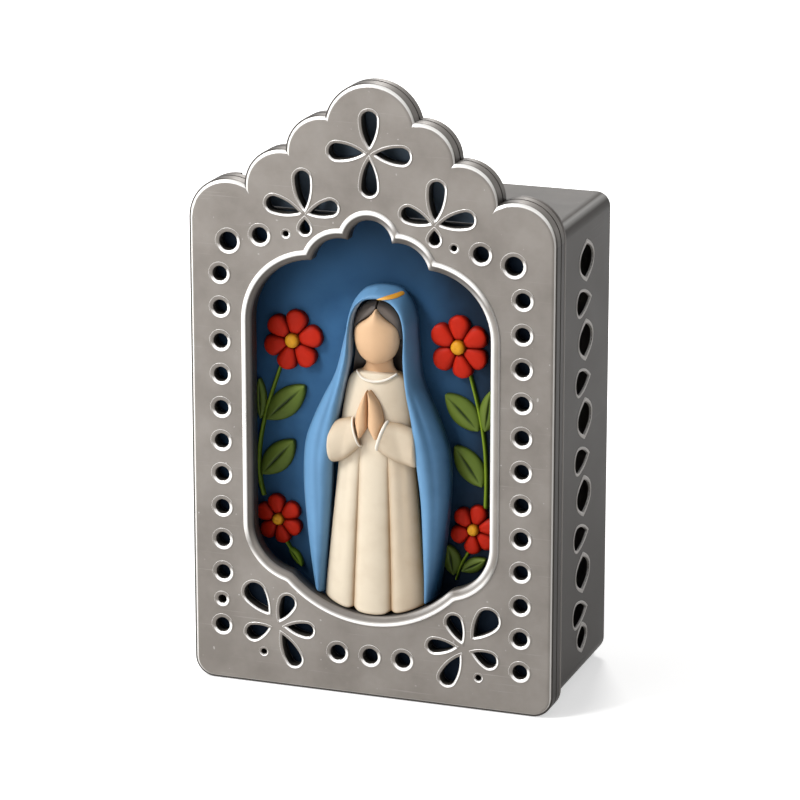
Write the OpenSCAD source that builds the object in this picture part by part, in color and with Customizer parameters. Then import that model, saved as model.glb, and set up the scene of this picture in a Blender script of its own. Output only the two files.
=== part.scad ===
// Tin nicho: a pierced, scalloped front cover that slips over a shallow tin box,
// with a painted niche liner, applied flowers and a half-round figure inside.
// Millimetres. +Z is up, the front faces -Y, the base stands on z = 0.

/* [Front cover] */
// Width of the front cover
cover_w = 182; // [178:1:188]
// Height of the front cover, from the base to the top of the crest
cover_h = 300; // [296:1:310]
// Rise of the crest above the shoulders
crest_rise = 50.5; // [48:0.5:53]
// Depth of the skirt that is turned back round the cover
skirt_d = 12.5; // [11.5:0.5:15]
// Thickness of the tin sheet
sheet = 1; // [0.8:0.1:1.2]
// Rounding of the cover's front edge
edge_r = 2.4; // [1.8:0.2:3]
// Radius of the cover's bottom corners
corner_r = 10; // [9:0.5:12]
// Radius of the cover's shoulders
shoulder_r = 20; // [19:0.5:21]

/* [Crest scallops] */
// Radius of the top lobe
top_r = 23; // [22:0.5:25]
// Radius of the lower scallop
lower_r = 18.9; // [18:0.1:20]
// Step inwards from the shoulder's centre to the lower scallop's centre
lower_in = 27.1; // [26:0.1:29]
// Step upwards from the shoulder's centre to the lower scallop's centre
lower_up = 17.4; // [16.5:0.1:18.5]
// Radius of the upper scallop
upper_r = 18.5; // [18:0.1:20]
// Step inwards from the lower scallop's centre to the upper scallop's centre
upper_in = 20.4; // [19:0.1:22]
// Step upwards from the lower scallop's centre to the upper scallop's centre
upper_up = 17.8; // [17:0.1:19]

/* [Opening] */
// Width of the opening in the cover
opening_w = 119; // [115:1:122]
// Height of the opening's lowest point above the base
opening_sill = 41.2; // [39:0.2:43]
// Distance from the top of the crest down to the opening's peak
peak_drop = 64.8; // [63:0.2:68]
// Radius of the small arch at the opening's peak
arch_r = 10.9; // [10:0.1:12]
// Radius of the scallop beside the arch
scallop_r = 15.3; // [14.5:0.1:16]
// Step outwards from the arch's centre to that scallop's centre
scallop_out = 14.2; // [13.5:0.1:15]
// Step downwards from the arch's centre to that scallop's centre
scallop_down = 14.2; // [13.5:0.1:15]
// Radius of the opening's shoulders
haunch_r = 32; // [30:0.5:34]
// Drop from the arch's centre to the opening's shoulder centres
haunch_down = 42.5; // [41:0.5:44]
// Radius of the opening's lower corners
foot_r = 24; // [22:0.5:26]
// Height of the lower corner centres above the sill
foot_up = 40.8; // [39:0.2:43]
// Radius of the reversed curve between the lower corners and the bowl
swan_r = 9; // [8.5:0.1:10]
// Radius of the bowl at the bottom of the opening
bowl_r = 55; // [53:0.5:58]
// Width of the rolled lip round the opening
lip_w = 5; // [4:0.2:5.6]
// Height of the rolled lip in front of the cover's face
lip_h = 1.4; // [1:0.1:2]

/* [Piercings] */
// Diameter of the round holes
hole_d = 7.8; // [7:0.2:8.6]
// Diameter of the two corner holes
corner_hole_d = 9.6; // [9:0.2:10.4]
// Diameter of the smallest punched holes
pin_hole_d = 3.2; // [2.6:0.2:3.8]
// Distance from the cover's side to the columns of holes
column_in = 15.8; // [15:0.2:17]
// Spacing of the holes
hole_pitch = 16.5; // [16:0.1:18]
// Drop from the shoulders to the first hole of a column
column_drop = 46; // [45:0.5:48]
// Height of the bottom row of holes
bottom_row_z = 20.8; // [19:0.2:22]
// Depth of the collars that are turned in round the piercings
collar_d = 5.9; // [5:0.1:6.4]
// Wall of those collars
collar_t = 0.8; // [0.6:0.1:1]
// Rounding of the rims of the round holes
rim_r = 1.1; // [0.8:0.1:1.4]

/* [Box] */
// Depth of the box behind the cover's face
box_d = 96; // [90:1:104]
// Gap between the cover's skirt and the box
skirt_gap = 1.5; // [1.2:0.1:2]
// Drop from the cover's shoulders to the top of the box
box_drop = 14.5; // [13.5:0.5:19]
// Radius of the box's top corners
box_r = 7; // [5:0.5:8]
// Rounding of the box's rear edge
rear_r = 3; // [2:0.2:3.6]
// Width of the flange turned in at the back of the box
flange_w = 11; // [9:0.5:14]
// Width of the hem at the back of the skirt
hem_d = 3.5; // [2.5:0.1:4.5]
// Width of the almonds pierced in the sides, from front to back
lens_w = 21; // [16:0.5:22]
// Height of those almonds
lens_h = 16.5; // [13:0.5:17]
// Width of the drops between the almonds, from front to back
drop_w = 21; // [16:0.5:22]
// Height of those drops
drop_h = 11.2; // [9:0.2:12]
// Shift of the drops towards the front
drop_shift = 4; // [2:0.5:5]
// Spacing of the side piercings
lens_pitch = 19.4; // [18.6:0.2:21]

/* [Niche] */
// Depth of the backdrop behind the cover's face
backdrop_d = 21; // [20:0.5:24]
// Thickness of the painted liner sheet
liner_t = 0.8; // [0.6:0.1:1]
// Room between the opening and the walls of the niche
niche_room = 6.4; // [6:0.1:7]
// Room between the top of the figure and the peak of the opening
head_room = 33.7; // [31:0.1:40]
// Radius of the upper flowers, as a share of the opening's width
upper_flower_share = 0.12; // [0.1:0.005:0.125]
// Radius of the lower flowers, as a share of the opening's width
lower_flower_share = 0.0975; // [0.085:0.0025:0.1]

/* [Hanger] */
// Wire diameter of the hanger ring
ring_wire = 2; // [1.6:0.1:2.4]
// Width of the hanger ring inside the wire
ring_w = 18; // [16:0.5:22]
// Width of the hanger strap
strap_w = 12; // [9:0.5:13]

/* [Hidden] */
$fn = 96;
fit = 0.3;
pivot_fit = 0.06;
through = 1;
half_w = cover_w / 2;
shoulder_top = cover_h - crest_rise;
shoulder_z = shoulder_top - shoulder_r;
shoulder_c = [half_w - shoulder_r, shoulder_z];
lower_c = shoulder_c + [-lower_in, lower_up];
upper_c = lower_c + [-upper_in, upper_up];
top_c = [0, cover_h - top_r];

// The opening's circles, each as a centre, for the half at +X
arch_c = [0, cover_h - peak_drop - arch_r];
scallop_c = arch_c + [scallop_out, -scallop_down];
haunch_c = [opening_w / 2 - haunch_r, arch_c[1] - haunch_down];
foot_c = [opening_w / 2 - foot_r, opening_sill + foot_up];
bowl_c = [0, opening_sill + bowl_r];
swan_c = crossing(bowl_c, bowl_r + swan_r, foot_c, foot_r + swan_r, -1);

// Places from front to back
collar_back = sheet + collar_d;
liner_front = collar_back + fit;
box_front = liner_front + liner_t;
box_inset = sheet + skirt_gap;
box_half = half_w - box_inset;
box_floor = box_inset;
box_foot_r = corner_r - box_inset;
box_top = shoulder_top - box_drop;
hem_t = box_inset - fit;
crest_back_z = box_top + fit;
back_d = box_d + sheet;
strap_t = 0.8;
pivot_r = ring_wire / 2;
loop_t = 1;
loop_r = pivot_r + pivot_fit + loop_t;
pivot_d = back_d + loop_r;
ring_drop = 20;
ring_z = box_top - ring_drop;
rear_most = pivot_d + loop_r;
middle_d = (rear_most - lip_h) / 2;

// The figure and the flowers are drawn for an opening of this width and height, and are
// drawn out or in with the real one
drawn_opening = [119, 194];
drawn_figure_h = 160;
opening_h = cover_h - peak_drop - opening_sill;
relief_x = opening_w / drawn_opening[0];
relief_z = opening_h / drawn_opening[1];
figure_z = opening_sill + fit;
figure_h = opening_h - fit - head_room;
figure_k = figure_h / drawn_figure_h;
upper_flower_r = upper_flower_share * opening_w;
lower_flower_r = lower_flower_share * opening_w;
glue = 0.3;

// Plane geometry
function crossing(c1, r1, c2, r2, side) =
    let (gap = norm(c2 - c1), along = (gap * gap + r1 * r1 - r2 * r2) / (2 * gap),
        off = sqrt(max(0, r1 * r1 - along * along)), e = (c2 - c1) / gap)
    c1 + along * e + side * off * [-e[1], e[0]];
function bearing(c, p) = atan2(p[1] - c[1], p[0] - c[0]);
function arc(c, r, a0, a1, n) =
    [for (i = [0:n]) let (a = a0 + (a1 - a0) * i / n) c + r * [cos(a), sin(a)]];
function tail(list) = [for (i = [1:len(list) - 1]) list[i]];
function flipped(list) = [for (i = [len(list) - 1:-1:0]) list[i]];
function mirrored(list) = [for (p = list) [-p[0], p[1]]];

// A smooth curve through hand-placed points, with k steps between each pair
function between(a, b, c, d, t) =
    0.5 * (2 * b + (c - a) * t + (2 * a - 5 * b + 4 * c - d) * t * t + (3 * b - a - 3 * c + d) * t * t * t);
function smooth(p, k) = concat(
    [for (i = [0:len(p) - 2], s = [0:k - 1])
        between(p[max(i - 1, 0)], p[i], p[i + 1], p[min(i + 2, len(p) - 1)], s / k)],
    [p[len(p) - 1]]);

// Half of the opening's outline from the peak to the bowl, grown by u into the cover
function opening_half(u) =
    let (p1 = crossing(arch_c, arch_r + u, scallop_c, scallop_r + u, 1),
        p2 = crossing(scallop_c, scallop_r + u, haunch_c, haunch_r + u, 1),
        foot_a = bearing(foot_c, swan_c), bowl_a = bearing(bowl_c, swan_c))
    concat(
        arc(arch_c, arch_r + u, 90, bearing(arch_c, p1), 9),
        tail(arc(scallop_c, scallop_r + u, bearing(scallop_c, p1), bearing(scallop_c, p2), 7)),
        tail(arc(haunch_c, haunch_r + u, bearing(haunch_c, p2), 0, 9)),
        arc(foot_c, foot_r + u, 0, foot_a, 8),
        tail(arc(swan_c, swan_r - u, foot_a + 180, bowl_a + 180, 3)),
        tail(arc(bowl_c, bowl_r + u, bowl_a, -90, 6)));
function opening_outline(u) =
    let (half = opening_half(u), inner = [for (i = [1:len(half) - 2]) half[i]])
    concat(half, flipped(mirrored(inner)));

// Front-view shapes are drawn flat as x and height, and then stood up behind the cover's face
module stand_up(d = 0) {
    translate([0, d - middle_d, 0]) mirror([0, 1, 0]) rotate([90, 0, 0]) children();
}

// Section of a slab whose outer front edge is rounded
module edge_section(reach, depth, round) {
    square([reach - round, depth]);
    translate([0, round]) square([reach, depth - round]);
    translate([reach - round, round]) circle(round);
}
module round_disc(c, r, depth, round, turn = 360) {
    translate(c) rotate_extrude(angle = turn) edge_section(r, depth, round);
}
module upright_bar(reach, low, high, depth, round) {
    for (side = [0, 1]) mirror([side, 0, 0])
        translate([0, high, 0]) rotate([90, 0, 0]) linear_extrude(high - low)
            edge_section(reach, depth, round);
}
// A bar whose rounded edge faces down, with its other edge at height top
module sill_bar(half, top, reach, depth, round) {
    translate([half, top, 0]) rotate([0, 0, -90]) rotate([90, 0, 0]) linear_extrude(2 * half)
        edge_section(reach, depth, round);
}

// Slab with the cover's scalloped outline, drawn in by inset
module cover_slab(inset, depth, round) {
    foot = [half_w - corner_r, corner_r];
    upright_bar(half_w - inset, corner_r, shoulder_z, depth, round);
    sill_bar(foot[0], corner_r, corner_r - inset, depth, round);
    for (side = [0, 1]) mirror([side, 0, 0]) {
        translate(foot) rotate(-90) round_disc([0, 0], corner_r - inset, depth, round, 90);
        round_disc(shoulder_c, shoulder_r - inset, depth, round, bearing(shoulder_c, lower_c));
        round_disc(lower_c, lower_r - inset, depth, round);
        round_disc(upper_c, upper_r - inset, depth, round);
    }
    round_disc(top_c, top_r - inset, depth, round);
    linear_extrude(depth) crest_core();
}
// The flat field between the centres of the crest's lobes
module crest_core() {
    right_half = [shoulder_c, lower_c, upper_c];
    polygon(concat(right_half, [top_c], flipped(mirrored(right_half))));
}
// The crest's outline above the box, drawn in by inset
module crest_outline(inset) {
    intersection() {
        union() {
            crest_core();
            for (side = [0, 1]) mirror([side, 0, 0]) {
                translate(shoulder_c) circle(shoulder_r - inset);
                translate(lower_c) circle(lower_r - inset);
                translate(upper_c) circle(upper_r - inset);
            }
            translate(top_c) circle(top_r - inset);
        }
        translate([-half_w, crest_back_z]) square([cover_w, cover_h]);
    }
}

// Teardrop with its point at the origin, pointing to +X, grown by g. Its sides are arcs
// that run almost smoothly into the round end: they dip into it by a hair.
petal_side = 1.35;
petal_dip = 0.01;
module petal(length, width, g) {
    r = width / 2;
    reach = length - r;
    side_r = petal_side * length;
    span = side_r - r + petal_dip;
    side_x = (reach * reach + side_r * side_r - span * span) / (2 * reach);
    side_y = sqrt(side_r * side_r - side_x * side_x);
    join = reach + (reach - side_x) * (r + g) / span;
    translate([reach, 0]) circle(r + g);
    intersection() {
        translate([side_x, side_y]) circle(side_r + g);
        translate([side_x, -side_y]) circle(side_r + g);
        translate([join - length, -length]) square([length, 2 * length]);
    }
}

// Pierced flowers: a centre, and petals as turn, start, length and width
crest_flower_drop = 33.1;
crest_petals = [for (turn = [0:90:270]) [turn, 2.6, 17.6, 8.2]];
side_flower_out = 32;
side_flower_drop = 13.9;
side_petals = [[86, 2, 19, 8], [162, 2.2, 15, 7.4], [14, 2.4, 17.6, 7.8], [-90, 2.2, 7.6, 5.8]];
foot_flower_in = 43.5;
foot_flower_drop = 10.3;
foot_petals = [[52, 7.2, 17.4, 11], [114, 3, 14, 7.8], [183, 4.6, 14, 7], [-22, 4.6, 12.6, 7.8],
    [-118, 4.8, 17.4, 8]];
foot_pin = [7.1, -14.2];
crest_flower_c = [0, cover_h - crest_flower_drop];
side_flower_c = [side_flower_out, shoulder_top - side_flower_drop];
foot_flower_c = [half_w - foot_flower_in, opening_sill - foot_flower_drop];
module pierced_flower(c, petals, g) {
    translate(c) for (p = petals) rotate(p[0]) translate([p[1], 0]) petal(p[2], p[3], g);
}

// Round holes of one half, each as a centre and a diameter
column_x = half_w - column_in;
column_top = shoulder_top - column_drop;
column_last = floor((column_top - bottom_row_z) / hole_pitch);
row_drop = 25.8;
row_z = shoulder_top - row_drop;
corner_in = 4.5;
corner_down = 0.5;
row_in = 20.5;
pin_in = 33.6;
pin_up = 1.8;
row_hole_d = hole_d + 0.5;
corner_hole = [[column_x - corner_in, column_top + hole_pitch - corner_down], corner_hole_d];
row_hole = [[column_x - row_in, row_z], row_hole_d];
pin_hole = [[column_x - pin_in, row_z + pin_up], pin_hole_d];
right_column = [for (i = [0:column_last]) [[column_x, column_top - i * hole_pitch], hole_d]];
// On the left the last but one hole was only half punched, and the last one sits higher
half_punched = 0.62;
half_punched_up = 0.15;
last_up = 0.36;
last_out = 0.8;
left_column = concat(
    [for (i = [0:column_last - 2]) [[-column_x, column_top - i * hole_pitch], hole_d]],
    [for (h = [[1 + half_punched_up, half_punched], [last_up, 1]])
        [[-column_x - last_out, column_top - (column_last - h[0]) * hole_pitch], h[1] * hole_d]]);
bottom_row = [for (i = [-1:1]) [[i * hole_pitch, bottom_row_z], row_hole_d]];
one_side = [corner_hole, row_hole, pin_hole];
other_side = [for (h = one_side) [[-h[0][0], h[0][1]], h[1]]];
round_holes = concat(one_side, other_side, right_column, left_column, bottom_row);

// Every piercing in the cover's face, grown by g
module piercings(g) {
    for (h = round_holes) translate(h[0]) circle(h[1] / 2 + g);
    pierced_flower(crest_flower_c, crest_petals, g);
    for (side = [0, 1]) mirror([side, 0, 0]) {
        pierced_flower(side_flower_c, side_petals, g);
        pierced_flower(foot_flower_c, foot_petals, g);
        translate(foot_flower_c + foot_pin) circle(pin_hole_d / 2 + g);
    }
}
// Flare that rounds the rim of one hole
module rim_flare(c, r) {
    translate(c) rotate_extrude() difference() {
        translate([0, -through]) square([r + rim_r, rim_r + through]);
        translate([r + rim_r, rim_r]) circle(rim_r);
    }
}

// A groove is rolled into the skirt all round, as stiffening
groove_d = 7.6;
groove_r = 0.75;
groove_out = 0.35;
module groove_section(reach) {
    translate([reach + groove_out, groove_d]) circle(groove_r);
}
module skirt_groove() {
    foot = [half_w - corner_r, corner_r];
    for (side = [0, 1]) mirror([side, 0, 0]) {
        translate([0, shoulder_z, 0]) rotate([90, 0, 0]) linear_extrude(shoulder_z - corner_r)
            groove_section(half_w);
        translate(foot) rotate(-90) rotate_extrude(angle = 90) groove_section(corner_r);
        for (lobe = [[shoulder_c, shoulder_r], [lower_c, lower_r], [upper_c, upper_r]])
            translate(lobe[0]) rotate_extrude(angle = 180) groove_section(lobe[1]);
    }
    translate(top_c) rotate_extrude(angle = 180) groove_section(top_r);
    translate([foot[0], corner_r, 0]) rotate([0, 0, -90]) rotate([90, 0, 0])
        linear_extrude(2 * foot[0]) groove_section(corner_r);
}

module front_cover() {
    color("darkgray") stand_up() difference() {
        union() {
            difference() {
                cover_slab(0, skirt_d, edge_r);
                translate([0, 0, sheet]) cover_slab(sheet, skirt_d, max(edge_r - sheet, 0.4));
            }
            linear_extrude(collar_back) piercings(collar_t);
        }
        translate([0, 0, -through]) linear_extrude(collar_back + 2 * through) piercings(0);
        translate([0, 0, -through]) linear_extrude(collar_back + 2 * through)
            polygon(opening_outline(sheet));
        for (h = round_holes) rim_flare(h[0], h[1] / 2);
        skirt_groove();
    }
}

// Section of the rolled lip, as growth from the opening and depth behind the cover's face
bead_steps = 6;
lip_section = concat(
    [[0, collar_back]],
    [for (i = [0:bead_steps]) let (a = 180 * i / bead_steps)
        [lip_w / 2 * (1 - cos(a)), -lip_h * sin(a)]],
    [[sheet, 0], [sheet, collar_back]]);
module opening_lip() {
    rings = [for (s = lip_section) [for (p = opening_outline(s[0])) [p[0], p[1], s[1]]]];
    count = len(rings[0]);
    last = len(rings);
    color("silver") stand_up() polyhedron(
        points = [for (ring = rings) each ring],
        faces = [for (k = [0:last - 1], i = [0:count - 1])
            let (a = k * count + i, b = k * count + (i + 1) % count,
                c = ((k + 1) % last) * count + (i + 1) % count, d = ((k + 1) % last) * count + i)
            each [[a, b, c], [a, c, d]]]);
}

// Section of the hem, with its outer face at reach
module hem_section(reach) {
    soft = hem_t / 2;
    translate([reach - hem_t, 0]) square([hem_t - soft, hem_d]);
    translate([reach - soft, soft]) square([soft, hem_d - 2 * soft]);
    for (y = [soft, hem_d - soft]) translate([reach - soft, y]) circle(soft);
}
module skirt_hem() {
    foot = [half_w - corner_r, corner_r];
    color("gainsboro") stand_up(skirt_d) {
        for (side = [0, 1]) mirror([side, 0, 0]) {
            translate([0, shoulder_z, 0]) rotate([90, 0, 0]) linear_extrude(shoulder_z - corner_r)
                hem_section(half_w);
            translate(foot) rotate(-90) rotate_extrude(angle = 90) hem_section(corner_r);
            translate(shoulder_c) rotate_extrude(angle = 95) hem_section(shoulder_r);
        }
        translate([foot[0], corner_r, 0]) rotate([0, 0, -90]) rotate([90, 0, 0])
            linear_extrude(2 * foot[0]) hem_section(corner_r);
    }
}

module crest_back() {
    color("midnightblue") stand_up(skirt_d - sheet) linear_extrude(sheet)
        crest_outline(sheet + 0.05);
}

// Slab with the box's outline, drawn in by inset, with its rounded edge at the front
module box_slab(inset, depth, round) {
    foot = [box_half - box_foot_r, box_floor + box_foot_r];
    head = [box_half - box_r, box_top - box_r];
    upright_bar(box_half - inset, foot[1], head[1], depth, round);
    sill_bar(foot[0], foot[1], box_foot_r - inset, depth, round);
    translate([0, head[1], 0]) mirror([0, 1, 0]) sill_bar(head[0], 0, box_r - inset, depth, round);
    for (side = [0, 1]) mirror([side, 0, 0]) {
        translate(foot) rotate(-90) round_disc([0, 0], box_foot_r - inset, depth, round, 90);
        round_disc(head, box_r - inset, depth, round, 90);
    }
}
module box_outline(inset) {
    foot = [box_half - box_foot_r, box_floor + box_foot_r];
    head = [box_half - box_r, box_top - box_r];
    translate([-box_half + inset, foot[1]]) square([2 * (box_half - inset), head[1] - foot[1]]);
    translate([-foot[0], box_floor + inset]) square([2 * foot[0], foot[1] - box_floor - inset]);
    translate([-head[0], head[1]]) square([2 * head[0], box_r - inset]);
    for (side = [0, 1]) mirror([side, 0, 0]) {
        translate(foot) circle(box_foot_r - inset);
        translate(head) circle(box_r - inset);
    }
}

// Almond with its points up and down
almond_steps = 10;
almond_power = 2.3;
function almond(w, h) =
    let (right = [for (i = [0:almond_steps]) let (t = 2 * i / almond_steps - 1)
        [w / 2 * (1 - pow(abs(t), almond_power)), h / 2 * t]])
    concat(right, [for (i = [almond_steps - 1:-1:1]) [-right[i][0], right[i][1]]]);
lens_d = (skirt_d + hem_d + box_d) / 2;
lens_drop = 24.4;
lens_top = box_top - lens_drop;
lens_room = 10;
lens_last = floor((lens_top - box_floor - lens_room) / lens_pitch);
last_share = 0.7;
// Almonds and drops take turns down each side, and a smaller almond is squeezed in last
module side_piercings() {
    for (i = [0:lens_last])
        translate([0, lens_d - middle_d, lens_top - (i < lens_last ? i : i - 1 + last_share) * lens_pitch])
            rotate([90, 0, 90]) linear_extrude(cover_w, center = true) {
                if (i == lens_last) polygon(almond(last_share * lens_w, last_share * lens_h));
                else if (i % 2 == 0) polygon(almond(lens_w, lens_h));
                else translate([drop_w / 2 - drop_shift, 0]) rotate(180) petal(drop_w, drop_h, 0);
            }
}
module box_wrap() {
    depth = box_d - box_front;
    color("dimgray") difference() {
        stand_up(box_d) mirror([0, 0, 1]) difference() {
            box_slab(0, depth, rear_r);
            translate([0, 0, sheet]) box_slab(sheet, depth, max(rear_r - sheet, 0.4));
            translate([0, 0, -through]) linear_extrude(sheet + 2 * through)
                translate([-box_half + flange_w, box_floor + flange_w])
                    square([2 * (box_half - flange_w), box_top - box_floor - 2 * flange_w]);
        }
        side_piercings();
    }
}

// The back sheet laps the flange, and its lower edge reaches down to the base
lap_in = rear_r + 3;
module back_panel() {
    color("gray") stand_up(box_d) linear_extrude(sheet)
        translate([-box_half + lap_in, 0]) square([2 * (box_half - lap_in), box_top - lap_in]);
}

// The niche follows the opening, as far as the box has room above it
module niche_outline(g) {
    roof = box_top - sheet - fit - liner_t + g;
    intersection() {
        polygon(opening_outline(niche_room + g));
        translate([-half_w, 0]) square([cover_w, roof]);
    }
}
module niche_liner() {
    depth = backdrop_d + liner_t - liner_front;
    color("steelblue") stand_up(liner_front) difference() {
        union() {
            linear_extrude(liner_t) box_outline(0);
            linear_extrude(depth) niche_outline(liner_t);
        }
        translate([0, 0, -through]) linear_extrude(depth - liner_t + through) niche_outline(0);
    }
}

strap_h = 20;
module hanger_strap() {
    color("gray") translate([0, pivot_d - middle_d, ring_z]) difference() {
        union() {
            rotate([0, 90, 0]) cylinder(r = loop_r, h = strap_w, center = true);
            translate([-strap_w / 2, -loop_r, -strap_h]) cube([strap_w, strap_t, strap_h]);
        }
        rotate([0, 90, 0]) cylinder(r = pivot_r + pivot_fit, h = strap_w + 2 * through, center = true);
    }
}
module hanger_ring() {
    bow_r = ring_w / 2 + pivot_r;
    color("lightgray") translate([0, pivot_d - middle_d, ring_z]) {
        rotate([0, 90, 0]) cylinder(r = pivot_r, h = 2 * bow_r, center = true);
        rotate([90, 0, 0]) rotate(180) rotate_extrude(angle = 180)
            translate([bow_r, 0]) circle(pivot_r);
    }
}

// Applied pieces are drawn as x, height and rise in front of the backdrop
module on_backdrop() {
    translate([0, backdrop_d - middle_d, 0]) rotate([90, 0, 0]) children();
}
module on_figure() {
    on_backdrop() translate([0, figure_z, 0]) scale([relief_x, figure_k, 1]) children();
}

// A padded form between a left and a right edge, with m cells across. back and front give
// its two faces as rise at x, z, for t from -1 to 1 across and s from 0 to 1 along, and
// lift(x, z) can draw its rows up.
level = function (x, z) z;
module padded(left, right, m, back, front, lift = level) {
    n = len(left);
    cols = m + 1;
    base = n * cols;
    grid = [for (i = [0:n - 1], j = [0:m]) let (p = left[i] + (right[i] - left[i]) * j / m)
        [p[0], p[1], 2 * j / m - 1, i / (n - 1), lift(p[0], p[1])]];
    front_face = [for (g = grid) [g[0], g[4], front(g[0], g[1], g[2], g[3])]];
    back_face = [for (g = grid) [g[0], g[4], back(g[0], g[1], g[2], g[3])]];
    faces = [for (i = [0:n - 2], j = [0:m - 1])
        let (a = i * cols + j, b = a + cols, c = b + 1, d = a + 1)
        each [[a, b, c], [a, c, d], [base + a, base + c, base + b], [base + a, base + d, base + c]]];
    flanks = [for (i = [0:n - 2]) let (a = i * cols, b = a + cols, c = a + m, d = b + m)
        each [[base + a, base + b, b], [base + a, b, a], [c, d, base + d], [c, base + d, base + c]]];
    ends = [for (j = [0:m - 1]) let (a = j, b = j + 1, c = (n - 1) * cols + j, d = c + 1)
        each [[base + a, a, b], [base + a, b, base + b], [base + d, d, c], [base + d, c, base + c]]];
    polyhedron(points = concat(front_face, back_face), faces = concat(faces, flanks, ends));
}
function swell(t) = sqrt(max(0, 1 - t * t));
flat = function (x, z, t, s) 0;
function dome(edge, crown) = function (x, z, t, s) edge + crown * swell(t);
// A form that lies on another one, given as its front face
function on_top(under, edge, crown) = function (x, z, t, s) under(x, z, t, s) + edge + crown * swell(t);
// Left and right edges of a narrow band along a path
function side_step(path, i, half) =
    let (a = path[max(i - 1, 0)], b = path[min(i + 1, len(path) - 1)], e = (b - a) / norm(b - a))
    half * [-e[1], e[0]];
function band_left(path, half) = [for (i = [0:len(path) - 1]) path[i] + side_step(path, i, half)];
function band_right(path, half) = [for (i = [0:len(path) - 1]) path[i] - side_step(path, i, half)];
// Both edges of an upright form, from its half-widths by height
function left_side(halves) = [for (h = halves) [-h[1], h[0]]];
function right_side(halves) = [for (h = halves) [h[1], h[0]]];

// The figure leans back: the rise of its widest plane, by height above the hem
function lean(z) = lookup(z, [[0, 13], [85, 9.6], [160, 5.6]]);
rim_t = 0.6;
// A back that curves from the widest plane to the backdrop
rounded_back = function (x, z, t, s) lean(z) - rim_t - (lean(z) - rim_t - glue) * swell(t);

// Robe: half-widths by height, and a front with two pleats that deepen towards the hem
robe_halves = [[0, 25.4], [18, 24.3], [36, 22.8], [58, 20.7], [70, 19.6], [82, 18.8], [94, 18.2],
    [100, 17.3], [106, 16.2], [112, 14.9], [115.4, 13.4], [118, 10.4]];
robe_bulges = [[0, 7.2], [60, 6.6], [90, 6], [110, 5.6], [118, 4.4]];
pleat_t = 0.375;
pleat_w = 0.08;
pleats = [[0, 1.5], [60, 0.9], [82, 0]];
function pleat(t) = exp(-pow((abs(t) - pleat_t) / pleat_w, 2));
function robe_rise(t, z) =
    lean(z) + rim_t + lookup(z, robe_bulges) * swell(t) - lookup(z, pleats) * pleat(t);
robe_front = function (x, z, t, s) robe_rise(t, z);
on_robe = function (x, z, t, s) robe_rise(max(-1, min(1, x / lookup(z, robe_halves))), z) + glue;
// The hem follows the bowl of the opening, with a notch at each pleat, and the rows above
// it level out
hem_lift_z = 30;
hem_notch = 1.6;
function bowl_lift(x) = (bowl_r - sqrt(bowl_r * bowl_r - pow(x * relief_x, 2))) / figure_k;
hem_lift = function (x, z)
    z + (bowl_lift(x) + hem_notch * pleat(x / lookup(z, robe_halves))) * max(0, 1 - z / hem_lift_z);
module robe() {
    halves = smooth(robe_halves, 2);
    color("antiquewhite") on_figure()
        padded(left_side(halves), right_side(halves), 16, rounded_back, robe_front, hem_lift);
}

// Sleeves: upper and lower edge from the elbow to the cuff. The right elbow ends at the mantle.
left_upper_edge = [[-24, 79], [-23, 87], [-19.6, 93.2], [-15, 95.4], [-10.2, 96.4]];
left_lower_edge = [[-23.6, 75.6], [-21.4, 73.4], [-16.4, 74.2], [-11, 78], [-5.8, 83]];
right_upper_edge = [[21.2, 84], [20.9, 88.6], [19.4, 93], [13.2, 95.3], [7.2, 95.8]];
right_lower_edge = [[21.4, 79.4], [21.2, 75], [13.8, 76.2], [7.6, 79], [2.6, 82.4]];
sleeve_floor = 14.6;
on_chest = function (x, z, t, s) max(sleeve_floor, on_robe(abs(x), z, t, s));
module sleeve(edge, other_edge) {
    color("linen") on_figure() padded(smooth(edge, 2), smooth(other_edge, 2), 8,
        on_chest, on_top(on_chest, 1, 4));
}
module left_sleeve() { sleeve(left_upper_edge, left_lower_edge); }
module right_sleeve() { sleeve(right_lower_edge, right_upper_edge); }

// Hands: palms together above the cuffs, each from its wrist to its finger tips
palms_x = -2.2;
palm_gap = 0.2;
wrist_inner = [[3.6, 87.4], [2.6, 88.8], [1.3, 90.6], [palm_gap, 93], [palm_gap, 98], [palm_gap, 104],
    [palm_gap, 110]];
left_outer = [[4.2, 88], [4.9, 90], [5.6, 92.4], [6.3, 95], [5.8, 98.6], [4, 104], [0.8, 110.4]];
right_outer = [[5.2, 88], [6.1, 90], [6.9, 92.4], [7.7, 95], [7.2, 99.4], [5.2, 105], [0.8, 110.4]];
module hand(side, outer) {
    outline = smooth(outer, 2);
    palm = smooth(wrist_inner, 2);
    color("burlywood") on_figure() translate([palms_x, 0, 0]) mirror([side, 0, 0])
        padded(palm, outline, 6, on_chest, on_top(on_chest, 1.2, 3.2));
}
module left_hand() { hand(1, left_outer); }
module right_hand() { hand(0, right_outer); }

// Hair fills the hood behind the face, and is hollowed behind the neck
hair_halves = [[118.6, 12], [126, 12], [136, 11.8], [144, 10.6], [149, 7.6], [152, 3]];
hair_crown = [[118.6, 2.4], [127, 2.6], [132, 6.6], [152, 7]];
hair_sides = [[118.6, 4], [127, 3.6], [132, 0], [152, -3]];
hair_front = function (x, z, t, s) lookup(z, hair_crown) + lookup(z, hair_sides) * pow(abs(t), 3);
hair_back = function (x, z, t, s) glue;
module hair() {
    halves = smooth(hair_halves, 3);
    color("black") on_figure()
        padded(left_side(halves), right_side(halves), 8, hair_back, hair_front);
}

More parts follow.
